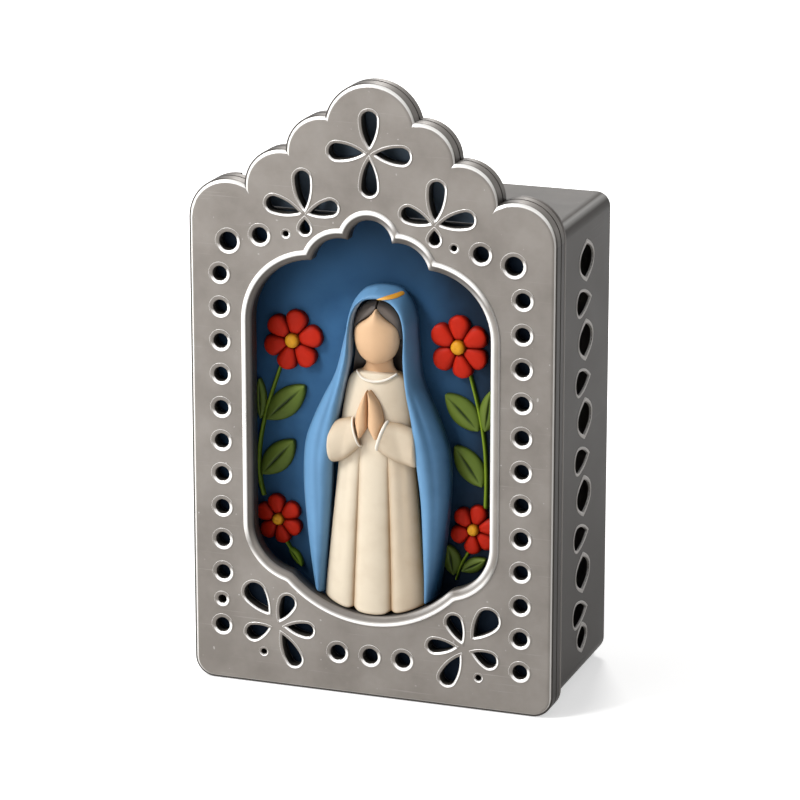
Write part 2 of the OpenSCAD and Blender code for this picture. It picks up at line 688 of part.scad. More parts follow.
neck_halves = [[118.4, 8.4], [120.4, 7.2], [123, 6.4], [127, 6.2]];
neck_mid = 6.4;
module neck() {
    color("tan") on_figure() padded(left_side(neck_halves), right_side(neck_halves), 8,
        function (x, z, t, s) neck_mid - 3.2 * swell(t),
        function (x, z, t, s) neck_mid + rim_t + 2.4 * swell(t));
}

// Face: a plain egg that runs to a point at the parting of the hair
face_halves = [[123.2, 1.6], [124.4, 4.8], [127.2, 8], [131.2, 10.3], [136, 11.2], [139.4, 10.6],
    [141.6, 8.4], [143.8, 5], [146.2, 2.4], [148.8, 0.8]];
face_mid = 10;
module face() {
    halves = smooth(face_halves, 2);
    color("navajowhite") on_figure() padded(left_side(halves), right_side(halves), 10,
        function (x, z, t, s) face_mid - rim_t / 2,
        function (x, z, t, s) face_mid + rim_t + 6 * swell(t) * pow(sin(180 * (0.08 + 0.86 * s)), 0.5));
}

// Mantle: outer and inner edge of one half, from the hem up to the middle of the hood
mantle_outer = [[29.4, 10.4], [32.2, 20], [35, 40], [37, 62], [36.4, 80], [32.6, 92], [27.6, 104],
    [22.8, 117], [20.2, 136], [17.8, 149], [12.4, 156.8], [6.4, 159.4], [0, 160]];
mantle_inner = [[26.4, 10.8], [25.2, 20], [23.9, 40], [22.8, 62], [22.2, 76], [20.6, 88], [18.2, 99],
    [15.5, 111], [13, 124], [12.4, 138], [10.9, 146.6], [6.2, 151.6], [0, 153]];
mantle_steps = 3;
outer_half = smooth(mantle_outer, mantle_steps);
inner_half = smooth(mantle_inner, mantle_steps);
outer_edge = concat(mirrored(outer_half), tail(flipped(outer_half)));
inner_edge = concat(mirrored(inner_half), tail(flipped(inner_half)));
mantle_bulge = 5.6;
// The hood comes forward round the face: the rise of its inner edge above the outer one
function hood_rise(z) = lookup(z, [[92, 0], [118, 4.2], [150, 4.2], [160, 3]]);
mantle_front = function (x, z, t, s)
    lean(z) + rim_t + mantle_bulge * swell(t) + hood_rise(z) * (1 + t) / 2;
mantle_back = function (x, z, t, s) rounded_back(x, z, t, s) + hood_rise(z) * pow(max(0, t), 2);
module mantle() {
    color("cornflowerblue") on_figure() padded(outer_edge, inner_edge, 8, mantle_back, mantle_front);
}

// Gold band across the hood, laid on the mantle from its inner to its outer edge
band_from = len(outer_half) - 0.4;
band_drift = 4.4;
band_half = 0.8;
band_steps = 8;
function edge_at(edge, i) = edge[floor(i)] + (edge[floor(i) + 1] - edge[floor(i)]) * (i - floor(i));
function band_share(k) = 0.12 + 0.8 * k;
band_path = [for (j = [0:band_steps]) let (k = j / band_steps, i = band_from + band_drift * k,
    inner = edge_at(inner_edge, i)) inner + (edge_at(outer_edge, i) - inner) * band_share(k)];
on_mantle = function (x, z, t, s) mantle_front(x, z, 1 - 2 * band_share(s), s) + 3 * glue;
module hood_band() {
    color("goldenrod") on_figure() padded(band_left(band_path, band_half), band_right(band_path, band_half),
        2, on_mantle, on_top(on_mantle, 0.3, 0.4));
}

collar_path = [[-9.4, 116.9], [-5.8, 114.9], [-0.4, 114.1], [5.2, 115], [9.4, 116.9]];
module collar() {
    path = smooth(collar_path, 3);
    color("ivory") on_figure() padded(band_left(path, 0.9), band_right(path, 0.9), 4,
        on_robe, on_top(on_robe, 0.3, 0.8));
}

// Flowers: padded petals round an eye, each at its place in the opening as drawn
eye_share = 0.27;
petal_count = 6;
petal_gap = 0.35;
petal_steps = 8;
petal_edge = 1.4;
petal_crown = 3.4;
function place(x, z) = [x * relief_x, opening_sill + z * relief_z];
left_upper = place(-45.6, 127.5);
right_upper = place(37.8, 131.9);
left_lower = place(-53.5, 37.4);
right_lower = place(45.8, 42.8);
// Half-width of a petal along its length, in radii of the flower: a wedge with a round end
petal_clear = 0.022;
petal_wide = 0.39;
petal_cap = [0.68, 0.34];
function petal_half(s) =
    let (p = eye_share + (1 - eye_share) * s, out = max(0, p - petal_cap[0]) / petal_cap[1])
    min(p * tan(180 / petal_count) - petal_clear, petal_wide * swell(out));
petal_rise = function (x, z, t, s)
    petal_edge + petal_crown * swell(t) * sqrt(sin(180 * (0.12 + 0.8 * s)));
module flower(c, r, turn) {
    start = eye_share * r + petal_gap;
    upper_side = [for (i = [0:petal_steps]) let (s = i / petal_steps)
        [start + (r - start) * s, r * petal_half(s)]];
    lower_side = [for (p = upper_side) [p[0], -p[1]]];
    color("firebrick") on_backdrop() translate(c) for (k = [0:petal_count - 1])
        rotate(turn + 360 / petal_count * k) padded(upper_side, lower_side, 4, flat, petal_rise);
}
module upper_left_flower() { flower(left_upper, upper_flower_r, 22); }
module upper_right_flower() { flower(right_upper, upper_flower_r, 30); }
module lower_left_flower() { flower(left_lower, lower_flower_r, 42); }
module lower_right_flower() { flower(right_lower, lower_flower_r, 15); }
eye_h = 5.6;
eye_ball = 1.4;
module eye(c, r) {
    eye_r = eye_share * r;
    ball_r = eye_ball * eye_r;
    on_backdrop() translate(c) rotate_extrude() intersection() {
        square([eye_r, eye_h]);
        translate([0, eye_h - ball_r]) circle(ball_r);
    }
}
module flower_eyes() {
    color("orange") {
        for (c = [left_upper, right_upper]) eye(c, upper_flower_r);
        for (c = [left_lower, right_lower]) eye(c, lower_flower_r);
    }
}

// Stems run from each upper flower down to the lower one, bowed towards the niche wall,
// and a short one leaves each lower flower for the sill. Their ends are given from a
// flower's centre, in radii of the flower.
stem_half = 1.1;
stem_edge = 0.6;
stem_crown = 1.4;
vine_steps = 12;
function vine(low, top, bow) =
    [for (i = [0:vine_steps]) let (k = i / vine_steps)
        low + (top - low) * k + [bow * relief_x * sin(180 * k), 0]];
function off_lower(c, x, z) = c + lower_flower_r * [x, z];
function off_upper(c, x, z) = c + upper_flower_r * [x, z];
left_vine = vine(off_lower(left_lower, -0.58, 1.04), off_upper(left_upper, -0.5, -0.99), -5);
right_vine = vine(off_lower(right_lower, 0.48, 1.05), off_upper(right_upper, 0.38, -0.99), 3.2);
left_shoot = vine(off_lower(left_lower, 0.78, -1.9), off_lower(left_lower, 0.28, -1.05), 0.6);
right_shoot = vine(off_lower(right_lower, -0.8, -2.3), off_lower(right_lower, -0.24, -1.06), -0.8);
module stem(path) {
    on_backdrop() padded(band_left(path, stem_half), band_right(path, stem_half), 4, flat,
        dome(stem_edge, stem_crown));
}
module left_stem() {
    color("olivedrab") for (path = [left_vine, left_shoot]) stem(path);
}
module right_stem() {
    color("olivedrab") for (path = [right_vine, right_shoot]) stem(path);
}

// Leaf with its stalk end at the origin, pointing to +X
leaf_gap = 1.4;
leaf_steps = 7;
leaf_tip = 0.3;
leaf_edge = 0.8;
leaf_crown = 1.9;
leaf_rib = 0.7;
leaf_rib_w = 1 / 3;
leaf_full = 0.66;
leaf_front = function (x, z, t, s)
    leaf_edge + leaf_crown * swell(t) - leaf_rib * max(0, 1 - abs(t) / leaf_rib_w) * sin(180 * s);
module leaf(turn, length, width) {
    upper_side = [for (i = [0:leaf_steps]) let (s = i / leaf_steps)
        relief_x * [length * s, leaf_tip + width / 2 * pow(sin(180 * s), leaf_full)]];
    lower_side = [for (p = upper_side) [p[0], -p[1]]];
    rotate(turn) padded(upper_side, lower_side, 6, flat, leaf_front);
}
// Leaves of one side, each as stem, step on it, side (-1 is left), turn, length and width
module leaves(list) {
    color("darkolivegreen") on_backdrop() for (l = list)
        translate(l[0][l[1]] + [l[2] * (stem_half + leaf_gap), 0]) leaf(l[3], l[4], l[5]);
}
module left_leaves() {
    leaves([[left_vine, 7, 1, 43, 26, 11.6], [left_vine, 2, 1, 48, 23, 11.4], [left_vine, 7, -1, 89, 19, 3.6]]);
}
module right_leaves() {
    leaves([[right_vine, 7, -1, 135, 22.5, 11], [right_vine, 2, -1, 125, 22.5, 11],
        [right_vine, 7, 1, 80, 20, 7], [right_shoot, 3, -1, 98, 10, 6], [right_shoot, 4, 1, 30, 13, 6]]);
}

front_cover();
opening_lip();
skirt_hem();
crest_back();
box_wrap();
back_panel();
niche_liner();
hanger_strap();
hanger_ring();
robe();
left_sleeve();
right_sleeve();
left_hand();
right_hand();
neck();
face();
hair();
mantle();
hood_band();
collar();
upper_left_flower();
upper_right_flower();
lower_left_flower();
lower_right_flower();
flower_eyes();
left_stem();
right_stem();
left_leaves();
right_leaves();
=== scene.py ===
# %% [markdown]
# # Dressing a tin nicho
# A nicho is a small box shrine of tin plate: a pierced front slips over a shallow box, and
# a painted niche behind the opening holds a relief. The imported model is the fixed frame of
# this scene, so every piece made here is placed from it and nothing needs fitting.

# %% Load the frame
import math
from bisect import bisect_right

import bpy
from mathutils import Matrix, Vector


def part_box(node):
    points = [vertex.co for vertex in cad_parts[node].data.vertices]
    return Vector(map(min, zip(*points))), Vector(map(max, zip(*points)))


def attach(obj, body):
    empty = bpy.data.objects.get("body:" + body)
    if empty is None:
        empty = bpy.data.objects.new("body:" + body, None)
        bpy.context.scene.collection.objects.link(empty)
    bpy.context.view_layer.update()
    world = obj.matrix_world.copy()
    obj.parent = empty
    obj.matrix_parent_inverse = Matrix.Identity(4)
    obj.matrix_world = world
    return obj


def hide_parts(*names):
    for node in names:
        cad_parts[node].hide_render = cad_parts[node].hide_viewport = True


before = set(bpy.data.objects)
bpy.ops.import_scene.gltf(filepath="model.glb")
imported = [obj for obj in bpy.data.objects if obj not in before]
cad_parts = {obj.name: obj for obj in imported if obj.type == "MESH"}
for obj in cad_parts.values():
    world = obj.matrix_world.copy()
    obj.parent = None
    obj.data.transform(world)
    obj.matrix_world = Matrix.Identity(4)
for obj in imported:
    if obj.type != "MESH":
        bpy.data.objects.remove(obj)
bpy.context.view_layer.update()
MM = 0.001

# %% [markdown]
# ## Camera
# The picture was taken from the right of the front and from a little above, from far away:
# the uprights stay upright. A long lens at the same bearing gives the same flat perspective.
# The bearing and the distance come from fitting the outline of the cover and of the box.

# %% Camera
AZIMUTH = math.radians(19.7)
ELEVATION = math.radians(16.4)
DISTANCE_MM = 1872
LOOK_AT_MM = Vector((15.2, -49.86, 150.2))
LENS_MM = 180
SENSOR_MM = 36

towards_camera = Vector((
    math.sin(AZIMUTH) * math.cos(ELEVATION),
    -math.cos(AZIMUTH) * math.cos(ELEVATION),
    math.sin(ELEVATION),
))
camera = bpy.data.objects.new("Camera", bpy.data.cameras.new("Camera"))
camera.data.lens = LENS_MM
camera.data.sensor_width = SENSOR_MM
camera.location = (LOOK_AT_MM + towards_camera * DISTANCE_MM) * MM
camera.rotation_euler = (-towards_camera).to_track_quat("-Z", "Y").to_euler()
bpy.context.scene.collection.objects.link(camera)
bpy.context.scene.camera = camera
print("camera at", [round(v, 3) for v in camera.location])

# %% [markdown]
# ## Colours and nodes
# Colours are written as sRGB hex values, the way a paint chart gives them, and shaders want
# linear light, so one function turns them over. One more adds a node with its settings and
# inputs, in order or by name: each is a value, a socket, or a node that stands for its first
# socket. Pattern scales are worked out from a size in millimetres.

# %% Colours and nodes
def linear(hex_colour):
    channels = [int(hex_colour[i:i + 2], 16) / 255 for i in (1, 3, 5)]
    return [c / 12.92 if c <= 0.04045 else ((c + 0.055) / 1.055) ** 2.4 for c in channels] + [1]


def feed(node, inputs):
    for socket, value in inputs.items() if isinstance(inputs, dict) else enumerate(inputs):
        if isinstance(value, bpy.types.Node):
            value = value.outputs[0]
        if isinstance(value, bpy.types.NodeSocket):
            node.id_data.links.new(value, node.inputs[socket])
        else:
            node.inputs[socket].default_value = value


def add_node(tree, kind, inputs=(), **settings):
    node = tree.nodes.new("ShaderNode" + kind)
    for name, value in settings.items():
        setattr(node, name, value)
    feed(node, inputs)
    return node


def per_mm(size):
    return 1 / (size * MM)


PAINT_IOR = 1.5


def new_finish(name, metallic, roughness, shine):
    material = bpy.data.materials.new(name)
    material.use_nodes = True
    shader = material.node_tree.nodes["Principled BSDF"]
    feed(shader, {"Metallic": metallic, "Roughness": roughness, "Specular IOR Level": shine})
    if not metallic:
        feed(shader, {"IOR": PAINT_IOR})
    return material, material.node_tree, shader


# The colour sockets of Blender's Mix node
FACTOR, FIRST, SECOND, MIXED = 0, 6, 7, 2


def coats(tree, base, layers):
    """A base colour with other colours laid over it, each by its share."""
    colour = linear(base)
    for share, over in layers:
        colour = add_node(tree, "Mix", {
            FACTOR: share, FIRST: colour, SECOND: linear(over)}, data_type="RGBA").outputs[MIXED]
    return colour


def mesh_amounts(tree):
    """The amounts of darker colour, washes with painted shade, and of paler colour, brushed edges
    with painted highlights, that a mesh carries.
    """
    return [add_node(tree, "Attribute", attribute_name=label).outputs["Fac"]
            for label in ("wash", "pale")]


# %% [markdown]
# ## Stage
# The object stands on a plain pale floor in soft studio light. A large lamp high on the left
# is the main light: it whitens each edge that faces up and left, and leaves the right side
# of the box in shade. Two weaker lamps soften that shade from the front and from the left,
# and one at the rear lights the top of the box. Floor and sky look white to the camera, in
# mirrors and through glass, without lighting anything more. Close to the object the floor
# glows less, which leaves room for a faint shadow.

# %% Stage
FLOOR_HALF_M = 9
FLOOR_GLOW = 0.58
FLOOR_PLAIN_M = (0.28, 0.7)
FILL_STRENGTH = 0.22
OBJECT_MIDDLE_M = Vector((0, 0, 0.15))
LAMPS = {  # place in m, size in m, watts
    "key": ((-0.85, -0.85, 1.25), 0.55, 19),
    "front": ((-0.8, -1.6, 0.5), 0.9, 6),
    "left": ((-1.3, -0.3, 0.4), 0.7, 4),
    "rear": ((-0.3, 1.2, 1.2), 0.5, 12),
}


def add_plain_view(tree):
    """1 for what the camera sees directly, mirrored or through glass."""
    seen = add_node(tree, "LightPath")
    direct, mirrored, through_glass = (
        seen.outputs[f"Is {kind} Ray"] for kind in ("Camera", "Glossy", "Transmission"))
    either = add_node(tree, "Math", [direct, mirrored], operation="MAXIMUM")
    return add_node(tree, "Math", [either, through_glass], operation="MAXIMUM")


corners = [(x * FLOOR_HALF_M, y * FLOOR_HALF_M, 0)
           for x, y in ((-1, -1), (1, -1), (1, 1), (-1, 1))]
floor_mesh = bpy.data.meshes.new("floor")
floor_mesh.from_pydata(corners, [], [(0, 1, 2, 3)])
floor = bpy.data.objects.new("floor", floor_mesh)
bpy.context.scene.collection.objects.link(floor)

floor_finish, tree, shader = new_finish("White studio floor", 0, 0.9, 0.1)
place = add_node(tree, "TexCoord")
off_middle = add_node(tree, "VectorMath", [place.outputs["Object"]], operation="LENGTH")
brighter = add_node(tree, "MapRange", [off_middle.outputs["Value"], *FLOOR_PLAIN_M, FLOOR_GLOW, 1])
glow = add_node(tree, "Math", [add_plain_view(tree), brighter], operation="MULTIPLY")
feed(shader, {"Base Color": linear("#f3f2f0"), "Emission Color": linear("#ffffff"),
              "Emission Strength": glow})
floor_mesh.materials.append(floor_finish)

world = bpy.data.worlds.new("Studio")
bpy.context.scene.world = world
world.use_nodes = True
tree = world.node_tree
tree.nodes.clear()
fill = add_node(tree, "Background", {"Color": linear("#f4f6fa"), "Strength": FILL_STRENGTH})
white = add_node(tree, "Background", {"Color": linear("#ffffff"), "Strength": 1})
both = add_node(tree, "MixShader", [add_plain_view(tree), fill, white])
add_node(tree, "OutputWorld", [both])

for name, (place_m, size_m, watts) in LAMPS.items():
    lamp = bpy.data.objects.new(name, bpy.data.lights.new(name, "AREA"))
    lamp.data.shape = "DISK"
    lamp.data.size = size_m
    lamp.data.energy = watts
    lamp.location = place_m
    towards_lamp = Vector(place_m) - OBJECT_MIDDLE_M
    lamp.rotation_euler = towards_lamp.to_track_quat("Z", "Y").to_euler()
    bpy.context.scene.collection.objects.link(lamp)
bpy.context.scene.view_settings.view_transform = "Standard"
print("stage: floor, lamps:", len(LAMPS))

# %% [markdown]
# ## Tin plate
# The shell is tinned sheet, rolled and hand-worked, then left to dull. Old tin is a soft grey
# with cloudy patches a few centimetres across, fine rubbed lines and small bright specks.
# Dulled tin scatters light as paint does, so its metal share is kept part way. The edges near
# the front are painted bright, partly as wear and partly as a painted highlight, most of all
# those that face up and to the left, towards the main lamp. Beyond that the tin is painted
# dark, partly as grime and partly as painted shade on the faces that turn to the side, and
# where it faces up and to the right a painted light from above takes part of that dark off.
# All this reads which way the surface faces and how deep it lies, which belong to the object
# and stay put in any view.

# %% Tin plate
CLOUD_MM = 30
RUB_LENGTH_MM = 45
RUB_WIDTH_MM = 1.1  # real rubbed lines are finer, but would not show at this size
RUB_TURN = math.radians(38)
SPECK_MM = 2.4
GRAIN_MM = 0.9
GRAIN_DEPTH_MM = 0.2
GRAIN_STRENGTH = 0.1
CLOUDS, RUBS, SPECKS = (0.34, 0.66), (0.66, 0.82), (0.76, 0.82)  # where each pattern shows
RUB_SHARE, SPECK_SHARE = 0.2, 0.4
TIN_SHINE = 0.06
DUSTED, POLISHED = 0.08, 0.06
EDGE_METAL, EDGE_POLISH = 0.3, -0.12
FACE_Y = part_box("front_cover")[0].y
# Grime and painted shade, on tin that turns to the side
GRIME = "#3c3835"
# Edges that face this way, up and to the left towards the main lamp, are painted bright: wear and a
# painted highlight
STROKE = (-0.45, 0, 0.89)
# Where tin faces this way, up and to the right, a painted light from above takes off part of the
# dark
RAIN = (0.6, 0, 0.8)


def add_wear(tree, place, rubbed=0, grime=0, front=(0, -1, 0), turn=(0.99, 0.9),
             cloth=(0, -1, 0.36), reach=(0.05, 0.3), span_mm=(-20, 200), stroke=STROKE,
             met=(-0.2, 0.35, 0.12), rinsed=(0.62, 0.9, 0)):
    """Shares of bright edge and of dark, each at most its given share.

    The bright edge is wear with a painted highlight, and the dark is dirt with painted shade.
    turn, reach, met and the last argument say at which lean on front, on the reach direction,
    on the light direction and on the direction of the light from above each of them starts and
    is full. The third value of met is the share of bright edge left where the edge faces away
    from the light, and that of the last argument is the share of the dark that the painted
    light from above takes off.
    """
    lean_on = {way: add_node(tree, "VectorMath", [place.outputs["Normal"], way],
                             operation="DOT_PRODUCT").outputs["Value"]
               for way in (front, cloth, stroke, RAIN)}
    # A Map Range node takes a value, its range and the range that this is turned into
    frontal = add_node(tree, "Math", [lean_on[front]], operation="ABSOLUTE")
    turned = add_node(tree, "MapRange", [frontal, *turn, 0, rubbed])
    outside = add_node(tree, "MapRange", [lean_on[cloth], *reach])
    at = add_node(tree, "SeparateXYZ", [place.outputs["Object"]])
    middle, half = (MM * (span_mm[1] + sign * span_mm[0]) / 2 for sign in (1, -1))
    in_span = add_node(tree, "Math", [at.outputs["Y"], FACE_Y + middle, half], operation="COMPARE")
    reached = add_node(tree, "Math", [outside, in_span], operation="MULTIPLY")
    # The bright edge: wear, and a painted highlight that is strongest on edges facing the light
    stroked = add_node(tree, "MapRange", [lean_on[stroke], *met])
    edge = add_node(tree, "Math", [turned, reached], operation="MULTIPLY")
    rubbed_edge = add_node(tree, "Math", [edge, stroked], operation="MULTIPLY")
    # The dark: grime, and painted shade on faces that turn to the side; a painted light from above
    # takes part of it off
    left_on = add_node(tree, "MapRange", [
        lean_on[RAIN], *rinsed[:2], grime, grime * (1 - rinsed[2])])
    dull = add_node(tree, "MapRange", [reached, 0, 1, left_on, 0])
    return rubbed_edge, dull


def tin_plate(name, dark, light, bright, metallic=0.2, roughness=0.4, marks=1, by_hand=False,
              **wear):
    """A tin finish. Its shares of bright edge, wear with a painted highlight, and of dark, dirt
    with painted shade, come from the way it faces or are carried by the mesh itself.
    """
    material, tree, shader = new_finish(name, metallic, roughness, TIN_SHINE)
    place = add_node(tree, "TexCoord")
    spot = place.outputs["Object"]
    cloud = add_node(tree, "TexNoise", {
        "Vector": spot, "Scale": per_mm(CLOUD_MM), "Detail": 5, "Roughness": 0.6})
    along = add_node(tree, "Mapping", {
        "Vector": spot, "Rotation": (0, RUB_TURN, 0),
        "Scale": (per_mm(RUB_LENGTH_MM), per_mm(RUB_LENGTH_MM), per_mm(RUB_WIDTH_MM))})
    rubs = add_node(tree, "TexNoise", {"Vector": along, "Scale": 1, "Detail": 2})
    specks = add_node(tree, "TexNoise", {
        "Vector": spot, "Scale": per_mm(SPECK_MM), "Detail": 1})
    if by_hand:
        dull, rubbed_edge = mesh_amounts(tree)
    else:
        rubbed_edge, dull = add_wear(tree, place, **wear)
    # Bright edges are wear with a painted highlight; the dark is grime with painted shade
    colour = coats(tree, dark, [
        (add_node(tree, "MapRange", [cloud, *CLOUDS]), light),
        (add_node(tree, "MapRange", [rubs, *RUBS, 0, RUB_SHARE * marks]), bright),
        (add_node(tree, "MapRange", [specks, *SPECKS, 0, SPECK_SHARE * marks]), bright),
        (rubbed_edge, bright), (dull, GRIME)])
    clean = add_node(tree, "MapRange", [dull, 0, 1, metallic, 0])
    metal = add_node(tree, "Math", [rubbed_edge, EDGE_METAL, clean],
                     operation="MULTIPLY_ADD", use_clamp=True)
    gloss = add_node(tree, "MapRange", [cloud, 0, 1, roughness - POLISHED, roughness + DUSTED])
    polish = add_node(tree, "Math", [rubbed_edge, EDGE_POLISH, gloss], operation="MULTIPLY_ADD")
    grain = add_node(tree, "TexNoise", {
        "Vector": spot, "Scale": per_mm(GRAIN_MM), "Detail": 4})
    bump = add_node(tree, "Bump", {
        "Height": grain, "Strength": GRAIN_STRENGTH * marks, "Distance": GRAIN_DEPTH_MM * MM})
    feed(shader, {"Base Color": colour, "Metallic": metal, "Roughness": polish, "Normal": bump})
    return material


# %% [markdown]
# ## Tin finishes
# Every part of the shell is the same tin, worn in its own way and given its own painted light
# and shade. The front has bright edges, wear and a painted highlight, the box is painted darker
# as dirt and shade, and the edges of the piercings get painted highlights.

# %% Tin finishes
# Soft clouded grey, with white edges up and left, wear and a painted highlight, and a dark band
# behind them, dirt and painted shade, which a painted light from above thins where it faces up
cover_tin = tin_plate(
    "Dulled tin plate", "#847e78", "#96908a", "#f8f6f2", marks=0.7, rubbed=1, grime=0.94,
    front=(0.242, -0.97, 0), turn=(0.955, 0.92), cloth=(0.3, -1, 0.36), reach=(0.77, 0.865),
    span_mm=(-5, 3.2), met=(-0.2, 0.25, 0.45), rinsed=(0.6, 0.86, 0.96))
# An even grey roll
hem_tin = tin_plate("Rolled tin hem", "#77716c", "#837d78", "#bdb9b3", marks=0.3, metallic=0)
# Dull and dark, painted darker on its sides as dirt and shade than on its top, with one painted
# highlight line where the top turns into the side
box_tin = tin_plate(
    "Dark tin plate", "#5f5b56", "#6e6964", "#f0eeea", metallic=0, marks=0.5, rubbed=0.45,
    grime=0.79, span_mm=(13, 200), stroke=(0.66, 0, 0.75), met=(0.95, 0.995, 0))
# A white crescent on the side of each rim that faces up and left: a painted highlight
rim_tin = tin_plate(
    "Rubbed tin edge", "#847e78", "#96908a", "#fbf9f6", marks=0.3, rubbed=1,
    turn=(0.998, 0.986), met=(-0.05, 0.08, 0))
# A pale line round each piercing of the box's sides: wear, and a painted highlight strongest where
# the rim faces up and left
side_rim_tin = tin_plate(
    "Rubbed side edge", "#98938e", "#a5a09b", "#f4f2ee", marks=0.3, rubbed=0.6, reach=(-2, -1.5))
# A smooth roll, with a painted highlight on its outer slope and painted shade on its inner one,
# both carried by the mesh
lip_tin = tin_plate(
    "Rolled tin lip", "#847e78", "#96908a", "#fbf9f6", marks=0, by_hand=True)
# Painted nearly black as shade, so that the opening looks deep, with a faint bright edge
inner_tin = tin_plate(
    "Tin in the dark", "#35322f", "#42403c", "#8f8a86", metallic=0, rubbed=0.2, reach=(-2, -1.5))
# A wall painted dark as shade, which sets off the white crescents
hole_tin = tin_plate("Tin in a piercing", "#3f3b37", "#4a4641", "#8f8a86", metallic=0)
# Bright metal with a clear reflection
wire_steel = tin_plate(
    "Drawn steel wire", "#8d8b88", "#a6a4a0", "#d6d4d0", metallic=0.9, roughness=0.3)
print("tin finishes:", len(bpy.data.materials) - 1)

# %% [markdown]
# ## Painted plaster
# The relief is painted plaster: a satin coat over a slightly uneven cast. Each coat has a
# darker colour, for a brown or dark wash in the grooves and for painted shade where the form
# turns away from the light, and a paler colour, for a brushed edge and for painted highlights
# where it faces the light. Each mesh carries how much of the darker and of the paler colour
# each of its points has.

# %% Painted plaster
UNEVEN_MM = 9
UNEVEN, UNEVEN_SHARE = (0.45, 0.75), 0.1
GLOSS_SPREAD = 0.08
PORE_MM = 0.7
PORE_DEPTH_MM, PORE_STRENGTH = 0.15, 0.08


def satin_paint(name, base, wash, pale, roughness=0.48, shine=0.22):
    material, tree, shader = new_finish(name, 0, roughness, shine)
    spot = add_node(tree, "TexCoord").outputs["Object"]
    # How much darker colour, wash and painted shade, and how much paler colour, brushed edge and
    # painted highlight, each point carries
    wash_here, pale_here = mesh_amounts(tree)
    patches = add_node(tree, "TexNoise", {
        "Vector": spot, "Scale": per_mm(UNEVEN_MM), "Detail": 4})
    patch_share = add_node(tree, "MapRange", [patches, *UNEVEN, 0, UNEVEN_SHARE])
    wash_share = add_node(tree, "Math", [wash_here, patch_share], operation="ADD", use_clamp=True)
    colour = coats(tree, base, [(wash_share, wash), (pale_here, pale)])
    gloss = add_node(tree, "MapRange", [
        patches, 0, 1, roughness - GLOSS_SPREAD, roughness + GLOSS_SPREAD])
    pores = add_node(tree, "TexNoise", {"Vector": spot, "Scale": per_mm(PORE_MM), "Detail": 3})
    bump = add_node(tree, "Bump", {
        "Height": pores, "Strength": PORE_STRENGTH, "Distance": PORE_DEPTH_MM * MM})
    feed(shader, {"Base Color": colour, "Roughness": gloss, "Normal": bump})
    return material


# Each coat has its colour, the darker colour of its wash and painted shade, and the paler
# colour of its brushed edge and painted highlights. The hair and the gold are smoother, for a
# clear highlight, and the petals stay nearly matt.
robe_paint = satin_paint("Cream painted plaster", "#e8dac3", "#a07a4c", "#fdf6e8")
cuff_paint = satin_paint("White painted plaster edge", "#f6efe2", "#c9ad84", "#fffaf0")
mantle_paint = satin_paint("Sky blue painted plaster", "#6b9ac3", "#264b6c", "#dbe9f7")
skin_paint = satin_paint("Warm tan painted plaster", "#e4bc94", "#9c6636", "#f8dcb8")
hair_paint = satin_paint("Black brown painted plaster", "#50463f", "#100c0a", "#7d7168", 0.36, 0.4)
gold_paint = satin_paint("Gold ochre paint", "#f0a93a", "#c07c1c", "#ffd98a", 0.34, 0.4)
petal_paint = satin_paint("Red painted plaster", "#ca2812", "#640b09", "#d63c26", shine=0.12)
eye_paint = satin_paint("Yellow painted plaster", "#eda722", "#b86a10", "#ffd45c")
stem_paint = satin_paint("Yellow green painted plaster", "#647f1a", "#33480f", "#93aa2c")
leaf_paint = satin_paint("Olive green painted plaster", "#667a2b", "#1d2b0d", "#869640")

# %% [markdown]
# ## Niche paint
# The niche is painted with matt blue, darker towards its edges and more so on the right:
# painted shade, as in a hollow lit from the left. The sheet behind the crest is painted on its
# front only, and its rear looks like tin.

# %% Niche paint
NICHE_MIDDLE_MM = (-18, 0, 140)
NICHE_REACH_MM = (72, 400, 112)
NICHE_DARKENS = (0.55, 1.15)
BRUSH_MM = 14
BRUSH_DEPTH_MM, BRUSH_STRENGTH = 0.4, 0.1
BRUSH_BLUR = 0.22


def niche_paint(name, middle, rim, lights, rear, roughness=0.55, shine=0.08):
    material, tree, shader = new_finish(name, 0, roughness, shine)
    place = add_node(tree, "TexCoord")
    around = add_node(tree, "Mapping", {
        "Vector": place.outputs["Object"],
        "Location": [-m / r for m, r in zip(NICHE_MIDDLE_MM, NICHE_REACH_MM)],
        "Scale": [per_mm(r) for r in NICHE_REACH_MM]})
    far = add_node(tree, "VectorMath", [around], operation="LENGTH").outputs["Value"]
    strokes = add_node(tree, "TexNoise", {
        "Vector": place.outputs["Object"], "Scale": per_mm(BRUSH_MM), "Detail": 4})
    soft_far = add_node(tree, "Math", [strokes, BRUSH_BLUR, far], operation="MULTIPLY_ADD")
    # Painted shade: the blue darkens towards the edges of the niche, and more on the right, since
    # the middle sits to the left
    rim_share = add_node(tree, "MapRange", [soft_far, *NICHE_DARKENS],
                         interpolation_type="SMOOTHSTEP")
    facing = add_node(tree, "SeparateXYZ", [place.outputs["Normal"]])
    behind = add_node(tree, "Math", [facing.outputs["Y"], 0.5], operation="GREATER_THAN")
    colour = coats(tree, middle, [(strokes, lights), (rim_share, rim), (behind, rear)])
    bump = add_node(tree, "Bump", {
        "Height": strokes, "Strength": BRUSH_STRENGTH, "Distance": BRUSH_DEPTH_MM * MM})
    feed(shader, {"Base Color": colour, "Normal": bump})
    return material


# A deep matt blue that lets the relief stand out. Hardly any light gets behind the crest, so
# the coat there is mixed paler than it looks.
blue_paint = niche_paint("Matt blue paint", "#2e557b", "#182535", "#4575a2", "#182535")
navy_paint = niche_paint("Matt navy paint", "#8596a8", "#78899b", "#90a2b4", "#55514d")
print("finishes:", len(bpy.data.materials))

# %% [markdown]
# ## Finishes for the CAD pieces
# Where the CAD shape is right, its own mesh stays and only gets a better finish.

